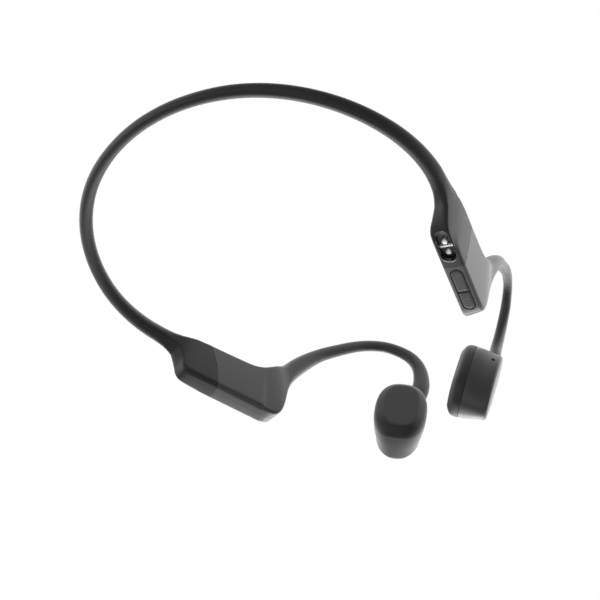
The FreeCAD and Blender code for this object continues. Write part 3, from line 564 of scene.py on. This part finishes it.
# ------------------------------------------------------------------ cutters and stadium prisms on the right housing's bottom
def stadium_loop(cs, ct, length, width, n=24):
    r = width / 2
    h = length / 2 - r
    pts = []
    for k in range(n + 1):
        a = -math.pi / 2 + math.pi * k / n
        pts.append((cs + h + r * math.cos(a), ct + r * math.sin(a)))
    for k in range(n + 1):
        a = math.pi / 2 + math.pi * k / n
        pts.append((cs - h + r * math.cos(a), ct + r * math.sin(a)))
    return pts


def prism(name, loop, z0, z1, side=1):
    n = len(loop)
    rings = []
    for z in (z0, z1):
        rings.append(W(np.array([hp(side, s, t, z) for s, t in loop])))
    return loft_mesh(name, rings)


def stacked(name, levels, side=1, cap0=True, cap1=True, angle=30.0):
    """levels: list of (loop, z)."""
    rings = [W(np.array([hp(side, s, t, z) for s, t in loop])) for loop, z in levels]
    return loft_mesh(name, rings, cap0, cap1, angle)


FLOOR = -13.45
port_cut = prism("port_cut", stadium_loop(5.1, 2.8, 11.4, 5.3), -15.0, FLOOR + 3.9)
boolean(band, port_cut)
drop(port_cut)
dress(band, "sleeve_silicone")
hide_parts("neckband_sleeve_right", "neckband_sleeve_left", "neckband_sleeve_center", "right_boot", "left_boot")
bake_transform(band)


def tube_along(name, points, radius, n=16):
    pts = np.asarray(points, float)
    rings = []
    prev = None
    for i, p in enumerate(pts):
        d = unit(pts[min(i + 1, len(pts) - 1)] - pts[max(i - 1, 0)])
        if prev is None:
            ref = np.array([0, 0, 1.0])
        else:
            ref = prev
        e1 = unit(ref - d * np.dot(ref, d))
        e2 = np.cross(d, e1)
        prev = e1
        rings.append(np.array([p + radius * (math.cos(2 * math.pi * k / n) * e1 + math.sin(2 * math.pi * k / n) * e2) for k in range(n)]))
    return loft_mesh(name, [W(r) for r in rings])


def band_line(z, step=1.4):
    qs = np.arange(0, BAND_END + 7.86 + 2.0, step)
    right = [np.array([band_at(q)[0], band_at(q)[1], z]) for q in qs]
    left = [np.array([-p[0], p[1], p[2]]) for p in right[1:]]
    return left[::-1] + right


for nm, z, rad, sl in (("wire", 0.85, 0.45, "titanium_wire"), ("cable", -0.75, 0.6, "cable_jacket")):
    tb = tube_along("neckband_%s_run" % nm, band_line(z), rad)
    dress(tb, sl)
    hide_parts(*["neckband_%s_%s" % (nm, k) for k in ("right", "left", "center")])
    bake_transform(tb)


# ------------------------------------------------------------------ ear hooks
HOOK = [
    (hp(1, 33.5, 3.1, 7.4), 5.4, 5.6), (hp(1, 36.9, 3.1, 13.8), 4.8, 5.3), ((38.7, 113.2, 20.8), 4.0, 4.25), ((33.6, 121.6, 30.1), 3.0, 3.7),
    ((30.6, 126.7, 34.5), 2.8, 3.55), ((26.0, 133.1, 37.1), 2.7, 3.6), ((23.2, 136.4, 36.6), 2.8, 3.7), ((20.4, 139.4, 34.8), 3.0, 3.9),
    ((17.7, 141.8, 30.4), 3.1, 4.35), ((16.3, 142.7, 25.0), 3.2, 5.0), ((15.8, 142.7, 19.5), 3.5, 5.6), ((16.6, 141.9, 14.0), 4.0, 6.0), ((17.2, 141.4, 10.9), 4.2, 6.1),
]
HP_ = np.array([np.asarray(p, float) for p, a, b in HOOK])
HW_ = np.array([(a, b) for p, a, b in HOOK])


def chord_params(p, power=0.5):
    d = np.linalg.norm(np.diff(p, axis=0), axis=1) ** power
    return np.concatenate([[0], np.cumsum(d)])


def spline(xs, ys):
    """Natural cubic spline through rows ys; returns value and derivative functions."""
    n = len(xs)
    h = np.diff(xs)
    A = np.zeros((n, n))
    R = np.zeros((n, ys.shape[1]))
    A[0, 0] = A[-1, -1] = 1
    for i in range(1, n - 1):
        A[i, i - 1], A[i, i], A[i, i + 1] = h[i - 1], 2 * (h[i - 1] + h[i]), h[i]
        R[i] = 6 * ((ys[i + 1] - ys[i]) / h[i] - (ys[i] - ys[i - 1]) / h[i - 1])
    m = np.linalg.solve(A, R)

    def f(u):
        i = int(np.clip(np.searchsorted(xs, u, side="right") - 1, 0, n - 2))
        t0, t1 = u - xs[i], xs[i + 1] - u
        v = (m[i] * t1**3 + m[i + 1] * t0**3) / (6 * h[i]) + (ys[i] / h[i] - m[i] * h[i] / 6) * t1 + (ys[i + 1] / h[i] - m[i + 1] * h[i] / 6) * t0
        d = (-m[i] * t1**2 + m[i + 1] * t0**2) / (2 * h[i]) - (ys[i] / h[i] - m[i] * h[i] / 6) + (ys[i + 1] / h[i] - m[i + 1] * h[i] / 6)
        return v, d
    return f


HU = chord_params(HP_, 0.8)
HF = spline(HU, HP_)


PA_OUT = unit([0.6852, 0.7213, -0.1009])


def hook_rings(side, count=110):
    rings = []
    mir = np.array([1, 1, 1.0])
    for i in range(count + 1):
        u = HU[-1] * i / count
        p, tg = HF(u)
        a, b = catmull(np.column_stack([HU, HW_]), u)
        f = min(1.0, i / (count * 0.18))
        f = f * f * (3 - 2 * f)
        n0 = unit(hp(1, 4.1, 0, 3.5) - hp(1, 0, 0, 0))
        d = unit(n0 * (1 - f) + unit(tg) * f)
        lat = np.array([CS, SN, 0]) * (1 - f) + np.array([0.8, 0.6, 0]) * f
        lat = unit(lat - d * np.dot(lat, d))
        # second axis: points to the outside of the bend (up and back at the root)
        bn = np.cross(lat, d)
        if i == 0 and bn[2] < 0:
            pass
        power = 2.9 * (1 - f) + 2.35 * f
        near_end = np.clip((i / count - 0.93) / 0.07, 0, 1)
        r = ellipse_ring(p - PA_OUT * 0.9 * near_end, lat, bn, (a + 0.22) / 2 * (1 - 0.25 * near_end), (b + 0.22) / 2 * (1 - 0.1 * near_end), 0.0, power)
        if i == 0:
            h_end = house_ring(1, 43.6)
            delta = hp(1, h_end[:, 0], h_end[:, 1], h_end[:, 2]) - r
        g = min(1.0, i / (count * 0.24))
        g = g * g * (3 - 2 * g)
        rings.append((r + delta * (1 - g)) * mir)
    return rings



# the neck: the housing's last sections and the hook's first ones run smoothly into each other
JN = 38
_us = list(np.linspace(22.6, 43.6, 46))[-JN:]
_raw = hook_rings(1)
_seq = np.array([hp(1, r[:, 0], r[:, 1], r[:, 2]) for r in (house_ring(1, u) for u in _us)] + _raw[1:])
_K = JN + 26
_part = _seq[:_K + 1]
_len = np.concatenate([np.zeros((1, _part.shape[1])), np.cumsum(np.linalg.norm(np.diff(_part, axis=0), axis=2), axis=0)])
_frac = _len / _len[-1]
_even = _frac.mean(axis=1)
_new = np.empty_like(_part)
for _j in range(_part.shape[1]):
    for _c in range(3):
        _new[:, _j, _c] = np.interp(_even, _frac[:, _j], _part[:, _j, _c])
_ends = np.clip(np.minimum(np.arange(_K + 1), _K - np.arange(_K + 1)) / 8.0, 0, 1)[:, None, None]
for _ in range(70):
    _w = np.clip((_new[:, :, 2:3] + 8.0) / 6.0, 0.04, 1) * _ends
    _avg = _new.copy()
    _avg[1:-1] = 0.5 * _new[1:-1] + 0.25 * (_new[:-2] + _new[2:])
    _new = _new + _w * (_avg - _new)
_seq = np.concatenate([_new, _seq[_K + 1:]])
NECK = [back_to_housing(r) for r in _seq[:JN]]
HOOK_RINGS = list(_seq[JN - 1:])


# ------------------------------------------------------------------ housing shells: two hollow halves each
N = 4 * Q
OUTER_IDX = list(range(3 * Q + Q // 2, 4 * Q)) + list(range(0, Q + Q // 2 + 1))
INNER_IDX = list(range(Q + Q // 2, 3 * Q + Q // 2 + 1))


def house_grid(side, inset):
    us = list(np.linspace(11.6, 22.0, 20)) + list(np.linspace(22.6, 43.6, 46))
    rings = []
    for k_, u in enumerate(us):
        r = house_ring(side, u, inset).copy()
        if not inset and k_ >= len(us) - JN:
            r = NECK[k_ - (len(us) - JN)].copy()
        f = np.clip(1 - (u - 11.6) / 9.0, 0, 1)
        f = f * f * (3 - 2 * f)
        r[:, 0] += f * (seam_s(side, r[:, 2]) + 0.02 - 11.6)
        rings.append(r)
    return rings


def mid_split(r):
    """Indices of the ring's points nearest the parting plane on the bottom and on the top."""
    t = r[:, 1]
    lower = np.arange(Q - 6, 2 * Q)
    upper = np.arange(3 * Q - 2, 4 * Q)
    return lower[np.argmin(np.abs(t[lower] - 3.1))], upper[np.argmin(np.abs(t[upper] - 3.1))]


def shell_half(side, which):
    out_r = house_grid(side, 0.0)
    in_r = house_grid(side, 1.1)
    # landmarks: index Q is the bottom's middle, index 3Q is the top's middle
    if which == "outer":
        idx = list(range(3 * Q, 4 * Q)) + list(range(0, Q + 1))
    else:
        idx = list(range(Q, 3 * Q + 1))
    m, k = len(idx), len(out_r)
    gap = 0.012 if which == "outer" else -0.012
    verts = []
    for grid in (out_r, in_r):
        for r in grid:
            sub = r[idx].copy()
            sub[0, 1] += gap
            sub[-1, 1] += gap
            verts.extend(hp(side, sub[:, 0], sub[:, 1], sub[:, 2]))
    verts = W(np.array(verts))
    faces = []
    base = k * m
    for a in range(k - 1):
        for b in range(m - 1):
            p = a * m + b
            faces.append((p, p + 1, p + 1 + m, p + m))
            q = base + p
            faces.append((q, q + m, q + 1 + m, q + 1))
    for a in range(k - 1):
        p = a * m
        faces.append((p, p + m, base + p + m, base + p))
        p = a * m + m - 1
        faces.append((p, base + p, base + p + m, p + m))
    for b in range(m - 1):
        p = b
        faces.append((p, base + p, base + p + 1, p + 1))
        p = (k - 1) * m + b
        faces.append((p, p + 1, base + p + 1, base + p))
    name = "%s_%s_shell_skin" % ("right" if side > 0 else "left", which)
    return new_mesh(name, verts, faces, 40)


key_cut = prism("key_cut", stadium_loop(22.1, 2.7, 16.5, 4.42), -15.0, FLOOR + 3.0)
for side, nm in ((1, "right"), (-1, "left")):
    for which in ("outer", "inner"):
        sh = shell_half(side, which)
        if side > 0:
            boolean(sh, key_cut, angle=40)
        dress(sh, "housing_plastic", nm + "_side", ["%s_housing_%s_shell" % (nm, which)])
drop(key_cut)

# ------------------------------------------------------------------ charging port
pt = 2.8
outer_l = lambda g: stadium_loop(5.1, pt, 11.4 + 2 * g, 5.3 + 2 * g, 28)
inner_l = lambda g: stadium_loop(5.1, pt, 10.3 + 2 * g, 4.3 + 2 * g, 28)


def rise(s_):
    """Height of the boot's curved heel above the flat bottom."""
    return float(np.interp(s_, [-1.0, -0.6, 0.0, 0.6, 1.1, 2.0, 3.0], [1.9, 1.55, 0.95, 0.5, 0.27, 0.08, 0.0]))


def well(levels, name, angle=32):
    rings = []
    for loop, z, follow in levels:
        rings.append(W(np.array([hp(1, s_, t_, z + follow * (rise(s_) + max(0.0, t_ - 4.7) * float(np.interp(s_, [-0.6, 1.0, 4.0, 6.0], [0.9, 0.7, 0.25, 0.0])))) for s_, t_ in loop])))
    return loft_mesh(name, rings, angle=angle)


port = well([
    (outer_l(-0.6), FLOOR + 3.6, 0), (outer_l(-0.02), FLOOR + 3.6, 0), (outer_l(-0.01), FLOOR + 0.3, 1), (outer_l(0.13), FLOOR + 0.03, 1), (outer_l(0.12), FLOOR - 0.06, 1),
    (outer_l(0.0), FLOOR - 0.11, 1), (outer_l(-0.2), FLOOR - 0.09, 1), (outer_l(-0.34), FLOOR - 0.01, 1), (inner_l(0.08), FLOOR + 0.3, 1), (inner_l(0.0), FLOOR + 0.46, 0.9),
    (inner_l(-0.04), FLOOR + 1.6, 0.35), (inner_l(-0.14), FLOOR + 1.85, 0), (inner_l(-0.4), FLOOR + 1.92, 0)], "charging_port_well")
dress(port, "port_plastic", "right_side", ["charging_port_insert"])


def bar(name, s0, s1, t0, t1, z0, z1, r=0.12, side=1):
    """A bar with softened edges."""
    def loop(g):
        pts = []
        for cs, ct, a0 in ((s1 - r, t1 - r, 0), (s0 + r, t1 - r, 90), (s0 + r, t0 + r, 180), (s1 - r, t0 + r, 270)):
            for k in range(5):
                a = math.radians(a0 + 90 * k / 4)
                pts.append((cs + (r + g) * math.cos(a), ct + (r + g) * math.sin(a)))
        return pts
    return stacked(name, [(loop(-r * 0.6), z0), (loop(-r * 0.2), z0 + 0.04), (loop(0), z0 + r), (loop(0), z1)], side, angle=35)


div = bar("charging_port_divider", 5.30, 5.92, 0.75, 4.95, FLOOR + 1.0, FLOOR + 2.1)
dress(div, "contact_gold", "right_side")


def pin(name, s, t, rad, z0, z1):
    n = 32
    loop = lambda r: [(s + r * math.cos(2 * math.pi * k / n), t + r * math.sin(2 * math.pi * k / n)) for k in range(n)]
    return stacked(name, [(loop(rad * 0.3), z0), (loop(rad * 0.62), z0 + 0.02), (loop(rad * 0.9), z0 + 0.1), (loop(rad), z0 + 0.28), (loop(rad), z1)], angle=50)


for i, s in enumerate((4.0, 8.1)):
    pn = pin("charging_contact_%d" % (i + 1), s, 2.65, 0.9, FLOOR + 0.95, FLOOR + 2.6)
    dress(pn, "contact_gold", "right_side")
    if i == 0:
        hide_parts("charging_contacts")

# ------------------------------------------------------------------ volume keys
ko = lambda g: stadium_loop(22.1, 2.7, 16.5 + 2 * g, 4.42 + 2 * g, 28)
bez = stacked("key_bezel_ring", [
    (ko(-0.03), FLOOR + 1.0), (ko(-0.02), FLOOR + 0.12), (ko(0.02), FLOOR + 0.01), (ko(-0.05), FLOOR - 0.015), (ko(-0.16), FLOOR + 0.02),
    (ko(-0.24), FLOOR + 0.12), (ko(-0.27), FLOOR + 1.0)], cap0=False, cap1=False, angle=40)
n_l = len(ko(0))
# close the ring's back
import bmesh
bm = bmesh.new(); bm.from_mesh(bez.data); bm.verts.ensure_lookup_table()
edges = [e for e in bm.edges if e.is_boundary]
bmesh.ops.bridge_loops(bm, edges=edges)
bmesh.ops.recalc_face_normals(bm, faces=bm.faces)
bm.to_mesh(bez.data); bm.free(); smooth(bez, 40)
dress(bez, "key_rubber", "right_side", ["key_bezel"])


def key_loop(s0, s1, width, round_rear, g, n=20):
    r = width / 2 + g
    c = 0.35
    pts = []
    if round_rear:
        cs = s0 + width / 2
        for k in range(n + 1):
            a = math.pi / 2 + math.pi * k / n
            pts.append((cs + r * math.cos(a), 2.7 + r * math.sin(a)))
        e = s1 + g
        for (cx, cy, a0) in ((e - c, 2.7 - r + c, -90), (e - c, 2.7 + r - c, 0)):
            for k in range(6):
                a = math.radians(a0 + 90 * k / 5)
                pts.append((cx + c * math.cos(a), cy + c * math.sin(a)))
    else:
        cs = s1 - width / 2
        for k in range(n + 1):
            a = -math.pi / 2 + math.pi * k / n
            pts.append((cs + r * math.cos(a), 2.7 + r * math.sin(a)))
        e = s0 - g
        for (cx, cy, a0) in ((e + c, 2.7 + r - c, 90), (e + c, 2.7 - r + c, 180)):
            for k in range(6):
                a = math.radians(a0 + 90 * k / 5)
                pts.append((cx + c * math.cos(a), cy + c * math.sin(a)))
    return pts


def key(name, s0, s1, rr):
    L = lambda g: key_loop(s0, s1, 3.74, rr, g)
    return stacked(name, [(L(-0.9), FLOOR - 0.10), (L(-0.55), FLOOR - 0.09), (L(-0.28), FLOOR - 0.04), (L(-0.10), FLOOR + 0.06), (L(-0.02), FLOOR + 0.2), (L(0.0), FLOOR + 1.55)], angle=45)


kU = key("volume_up_cap", 14.22, 22.88, True)
dress(kU, "key_rubber", "volume_up", ["volume_up_key"])
kD = key("volume_down_cap", 23.04, 29.98, False)
dress(kD, "key_rubber", "volume_down", ["volume_down_key"])

pl = bar("volume_up_sign_a", 15.1, 17.3, 2.55, 2.85, FLOOR - 0.15, FLOOR + 0.1, 0.08)
dress(pl, "legend_ink", "volume_up")
pl2 = bar("volume_up_sign_b", 16.05, 16.35, 1.6, 3.8, FLOOR - 0.15, FLOOR + 0.1, 0.08)
dress(pl2, "legend_ink", "volume_up")
mi = bar("volume_down_sign", 25.45, 25.75, 1.6, 3.8, FLOOR - 0.15, FLOOR + 0.1, 0.08)
dress(mi, "legend_ink", "volume_down")

for side, nm in ((1, "right"), (-1, "left")):
    hk = loft_mesh(nm + "_hook_skin", [W(r * np.array([side, 1, 1.0])) for r in HOOK_RINGS])
    dress(hk, "hook_silicone", nm + "_side", [nm + "_hook_sleeve"])

# ------------------------------------------------------------------ pods
PA = unit([0.6852, 0.7213, -0.1009])
PU = np.array([0.0900, 0.0536, 0.9945])
PU = unit(PU - PA * np.dot(PA, PU))
PV = np.cross(PU, PA)
pc_lo, pc_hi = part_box("right_pod_shell")
pcad_lo, pcad_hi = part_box("right_contact_pad")
PC = np.array([15.57, 136.06, -0.45])
PC = PC - PU * 0.28
PC_RIGHT = PC + (PV * 0.2 - PU * 0.1)
HWD, HHT, PT = 8.45, 12.95, 11.85
LO = -PT / 2
SPLIT = LO + 3.5


def pod_point(side, v, u, a):
    c = (PC_RIGHT if side > 0 else PC) + PV * v + PU * u + PA * a
    return c * np.array([side, 1, 1.0])


def oval_ring(side, off, a, n=96, power=2.35, du=0.0, offu=None):
    hw, hh = HWD - off, HHT - (off if offu is None else offu)
    pts = []
    for k in range(n):
        th = 2 * math.pi * k / n
        c, s = math.cos(th), math.sin(th)
        v = math.copysign(abs(c) ** (2 / power), c) * hw
        u = math.copysign(abs(s) ** (2 / power), s) * hh + du
        pts.append(pod_point(side, v, u, a))
    return W(np.array(pts))


def arc_profile(o0, a0, o1, a1, n=8, convex=True):
    """Quarter-ellipse steps from (o0, a0) to (o1, a1); leaves (o0,a0) along the face and arrives along the wall."""
    out = []
    for k in range(1, n + 1):
        th = math.pi / 2 * k / n
        if convex:
            out.append((o0 + (o1 - o0) * math.sin(th), a0 + (a1 - a0) * (1 - math.cos(th))))
        else:
            out.append((o0 + (o1 - o0) * (1 - math.cos(th)), a0 + (a1 - a0) * math.sin(th)))
    return out


for side, nm in ((1, "right"), (-1, "left")):
    # silicone pad: flat plateau, soft bevel, side wall, then a fine undercut at the parting line
    F0 = LO - (0.75 if side > 0 else 0.45)
    prof = [(7.2, F0), (5.6, F0), (4.2, F0), (3.25, F0), (2.95, F0 + 0.03), (2.7, F0 + 0.11)]
    prof += [(2.2, F0 + 0.36), (1.6, F0 + 0.68), (1.1, F0 + 0.98), (0.74, F0 + 1.26), (0.46, F0 + 1.58), (0.24, F0 + 1.98), (0.08, F0 + 2.5), (0.0, F0 + 3.0)]
    prof += [(0.0, SPLIT - 0.22), (0.03, SPLIT - 0.08), (0.12, SPLIT - 0.02), (0.6, SPLIT - 0.02), (1.6, SPLIT - 0.02), (1.6, LO + 1.1), (5.0, LO + 1.05)]
    pad = loft_mesh(nm + "_pad_skin", [oval_ring(side, o, a, power=2.45 + 0.45 * min(1.0, o / 3.0)) for o, a in prof], angle=50)
    dress(pad, "pad_silicone", nm + "_side", [nm + "_contact_pad"])
    # pod shell: wall, large outer rounding, slightly crowned outer face
    hi = PT / 2
    # rows: offset across, offset along, level, outline power
    sp = [(1.6, 1.6, SPLIT + 1.2, 2.35), (1.6, 1.6, SPLIT + 0.02, 2.35), (0.75, 0.75, SPLIT + 0.02, 2.35), (0.16, 0.16, SPLIT + 0.03, 2.38), (0.07, 0.06, SPLIT + 0.12, 2.38),
          (0.08, 0.02, SPLIT + 1.2, 2.34), (0.22, 0.05, SPLIT + 2.8, 2.28), (0.52, 0.10, SPLIT + 4.4, 2.2), (0.92, 0.18, SPLIT + 6.0, 2.12)]
    R_ = 1.15
    top_ = hi + 0.40
    sp += [(1.16 + R_ * (1 - math.cos(th)), 0.26 + R_ * (1 - math.cos(th)), top_ - R_ + R_ * math.sin(th), 2.08) for th in np.linspace(0.1, 1.3, 12)]
    sp += [(2.9, 2.2, hi + 0.52, 2.08), (4.4, 4.0, hi + 0.66, 2.08), (5.8, 6.0, hi + 0.76, 2.08), (7.3, 8.6, hi + 0.80, 2.1)]
    shell = loft_mesh(nm + "_pod_skin", [oval_ring(side, o, a, power=pw, offu=ou) for o, ou, a, pw in sp], angle=50)
    if side < 0:
        loop = []
        for cx, a0 in ((2.25, -90), (-2.25, 90)):
            for k in range(25):
                a = math.radians(a0 + 180 * k / 24)
                loop.append((cx + 2.55 * math.cos(a), 2.55 * math.sin(a)))
        cutter = loft_mesh("button_cut", [W(np.array([pod_point(side, v, u, a) for v, u in loop])) for a in (hi - 2.1, hi + 2.2)])
        boolean(shell, cutter, angle=45)
        drop(cutter)
        lb = lambda g: [(cx + (2.4 + g) * math.cos(math.radians(a0 + 180 * k / 24)), (2.4 + g) * math.sin(math.radians(a0 + 180 * k / 24))) for cx, a0 in ((2.25, -90), (-2.25, 90)) for k in range(25)]
        lv = [(-1.6, hi + 0.90), (-0.9, hi + 0.89), (-0.45, hi + 0.84), (-0.18, hi + 0.74), (-0.03, hi + 0.56), (0.0, hi + 0.32), (0.0, hi - 0.9)]
        bt = loft_mesh("multifunction_cap", [W(np.array([pod_point(side, v, u, a) for v, u in lb(g)])) for g, a in lv], angle=50)
        dress(bt, "button_plastic", "multifunction", ["multifunction_button"])
    else:
        n = 28
        axis_a = 3.75
        rr = lambda r, h: W(np.array([pod_point(side, h, 5.35 + r * math.cos(2 * math.pi * k / n), axis_a + r * math.sin(2 * math.pi * k / n)) for k in range(n)]))
        cutter = loft_mesh("mic_cut", [rr(0.58, -10.5), rr(0.58, -6.2)])
        boolean(shell, cutter, angle=45)
        drop(cutter)
    dress(shell, "housing_plastic", nm + "_side", [nm + "_pod_shell"])

# ------------------------------------------------------------------ floor: plain and pale, seen from above only
fl = bpy.data.meshes.new("studio_floor")
fl.from_pydata([(-3, -3, 0), (3, -3, 0), (3, 3, 0), (-3, 3, 0)], [], [(0, 1, 2, 3)])
floor = bpy.data.objects.new("studio_floor", fl)
bpy.context.scene.collection.objects.link(floor)
m, t, b = mat_nodes("floor_pale")
b.inputs["Roughness"].default_value = 0.9
nf = noise(t, 8.0)
rf = ramp(t, nf.outputs["Fac"], [(0.3, (0.90, 0.90, 0.90)), (0.7, (0.93, 0.93, 0.93))])
t.links.new(rf.outputs["Color"], b.inputs["Base Color"])
geo = t.nodes.new("ShaderNodeNewGeometry")
tr = t.nodes.new("ShaderNodeBsdfTransparent")
mx = t.nodes.new("ShaderNodeMixShader")
out = [n_ for n_ in t.nodes if n_.type == "OUTPUT_MATERIAL"][0]
t.links.new(geo.outputs["Backfacing"], mx.inputs["Fac"])
t.links.new(b.outputs["BSDF"], mx.inputs[1])
t.links.new(tr.outputs["BSDF"], mx.inputs[2])
t.links.new(mx.outputs["Shader"], out.inputs["Surface"])
fl.materials.append(m)
floor.visible_shadow = False
floor.visible_diffuse = False
floor.visible_glossy = False
floor.visible_transmission = False

# ------------------------------------------------------------------ camera
CAM = np.array([406.44, -253.50, -565.74])
VD = unit([-0.535, 0.42832647, 0.72822485])
UPV = np.array([0.40429931, -0.62705276, 0.66584301])
UPV = unit(UPV - VD * np.dot(UPV, VD))
RT = np.cross(VD, UPV)
cam_d = bpy.data.cameras.new("camera")
cam_d.lens = 150.0
cam_d.sensor_width = 36.0
cam_d.clip_start = 0.01
cam_d.clip_end = 50.0
cam = bpy.data.objects.new("camera", cam_d)
pos = W(CAM)
cam.matrix_world = Matrix(((RT[0], UPV[0], -VD[0], pos[0]), (RT[1], UPV[1], -VD[1], pos[1]), (RT[2], UPV[2], -VD[2], pos[2]), (0, 0, 0, 1)))
bpy.context.scene.collection.objects.link(cam)
bpy.context.scene.camera = cam

# ------------------------------------------------------------------ light
scene = bpy.context.scene
scene.view_settings.view_transform = "Standard"
scene.view_settings.look = "None"
world = bpy.data.worlds.new("studio")
scene.world = world
world.use_nodes = True
wt = world.node_tree
wt.nodes.clear()
wo = wt.nodes.new("ShaderNodeOutputWorld")
bg_see = wt.nodes.new("ShaderNodeBackground")
bg_see.inputs["Color"].default_value = (1, 1, 1, 1)
bg_see.inputs["Strength"].default_value = 1.0
bg_lit = wt.nodes.new("ShaderNodeBackground")
bg_lit.inputs["Strength"].default_value = 1.0
wtc = wt.nodes.new("ShaderNodeTexCoord")
dotn = wt.nodes.new("ShaderNodeVectorMath")
dotn.operation = "DOT_PRODUCT"
dotn.inputs[1].default_value = tuple(float(x) for x in (VD * 0.94 + RT * 0.22 - UPV * 0.10))
mr = wt.nodes.new("ShaderNodeMapRange")
mr.inputs["From Min"].default_value = -1.0
mr.inputs["From Max"].default_value = 1.0
wr = wt.nodes.new("ShaderNodeValToRGB")
wr.color_ramp.elements[0].position = 0.0
wr.color_ramp.elements[0].color = (0.20, 0.20, 0.20, 1)
wr.color_ramp.elements[1].position = 1.0
wr.color_ramp.elements[1].color = (3.2, 3.2, 3.2, 1)
for pos_, v_ in ((0.42, 0.26), (0.55, 0.75), (0.72, 2.2)):
    e_ = wr.color_ramp.elements.new(pos_)
    e_.color = (v_, v_, v_, 1)
wt.links.new(wtc.outputs["Generated"], dotn.inputs[0])
wt.links.new(dotn.outputs["Value"], mr.inputs["Value"])
wt.links.new(mr.outputs["Result"], wr.inputs["Fac"])
wt.links.new(wr.outputs["Color"], bg_lit.inputs["Color"])
lp = wt.nodes.new("ShaderNodeLightPath")
mw = wt.nodes.new("ShaderNodeMixShader")
wt.links.new(lp.outputs["Is Camera Ray"], mw.inputs["Fac"])
wt.links.new(bg_lit.outputs["Background"], mw.inputs[1])
wt.links.new(bg_see.outputs["Background"], mw.inputs[2])
wt.links.new(mw.outputs["Shader"], wo.inputs["Surface"])

CEN = np.array([0.0, 0.0, 0.02])


def area(name, direction, dist, size, power):
    d = unit(direction)
    l = bpy.data.lights.new(name, "AREA")
    l.shape = "DISK"
    l.size = size
    l.energy = power
    o = bpy.data.objects.new(name, l)
    p = CEN + d * dist
    o.location = p
    o.rotation_euler = Vector(-d).to_track_quat("-Z", "Y").to_euler()
    bpy.context.scene.collection.objects.link(o)
    o.visible_camera = False
    return o


# key on the outer right, a fill from the front top, a low rim
area("key_soft", RT * 0.95 + UPV * 0.30 + VD * 0.10, 0.9, 0.6, 0.35)
area("front_soft", -VD * 0.8 + UPV * 0.5 - RT * 0.3, 1.0, 0.8, 1.6)
area("rim_low", -UPV * 0.9 + VD * 0.5, 0.9, 0.6, 7.5)
area("left_soft", -RT * 0.95 + UPV * 0.12 - VD * 0.1, 0.9, 0.6, 3.4)
area("camera_soft", -VD * 0.93 - UPV * 0.3, 0.9, 0.6, 1.2)
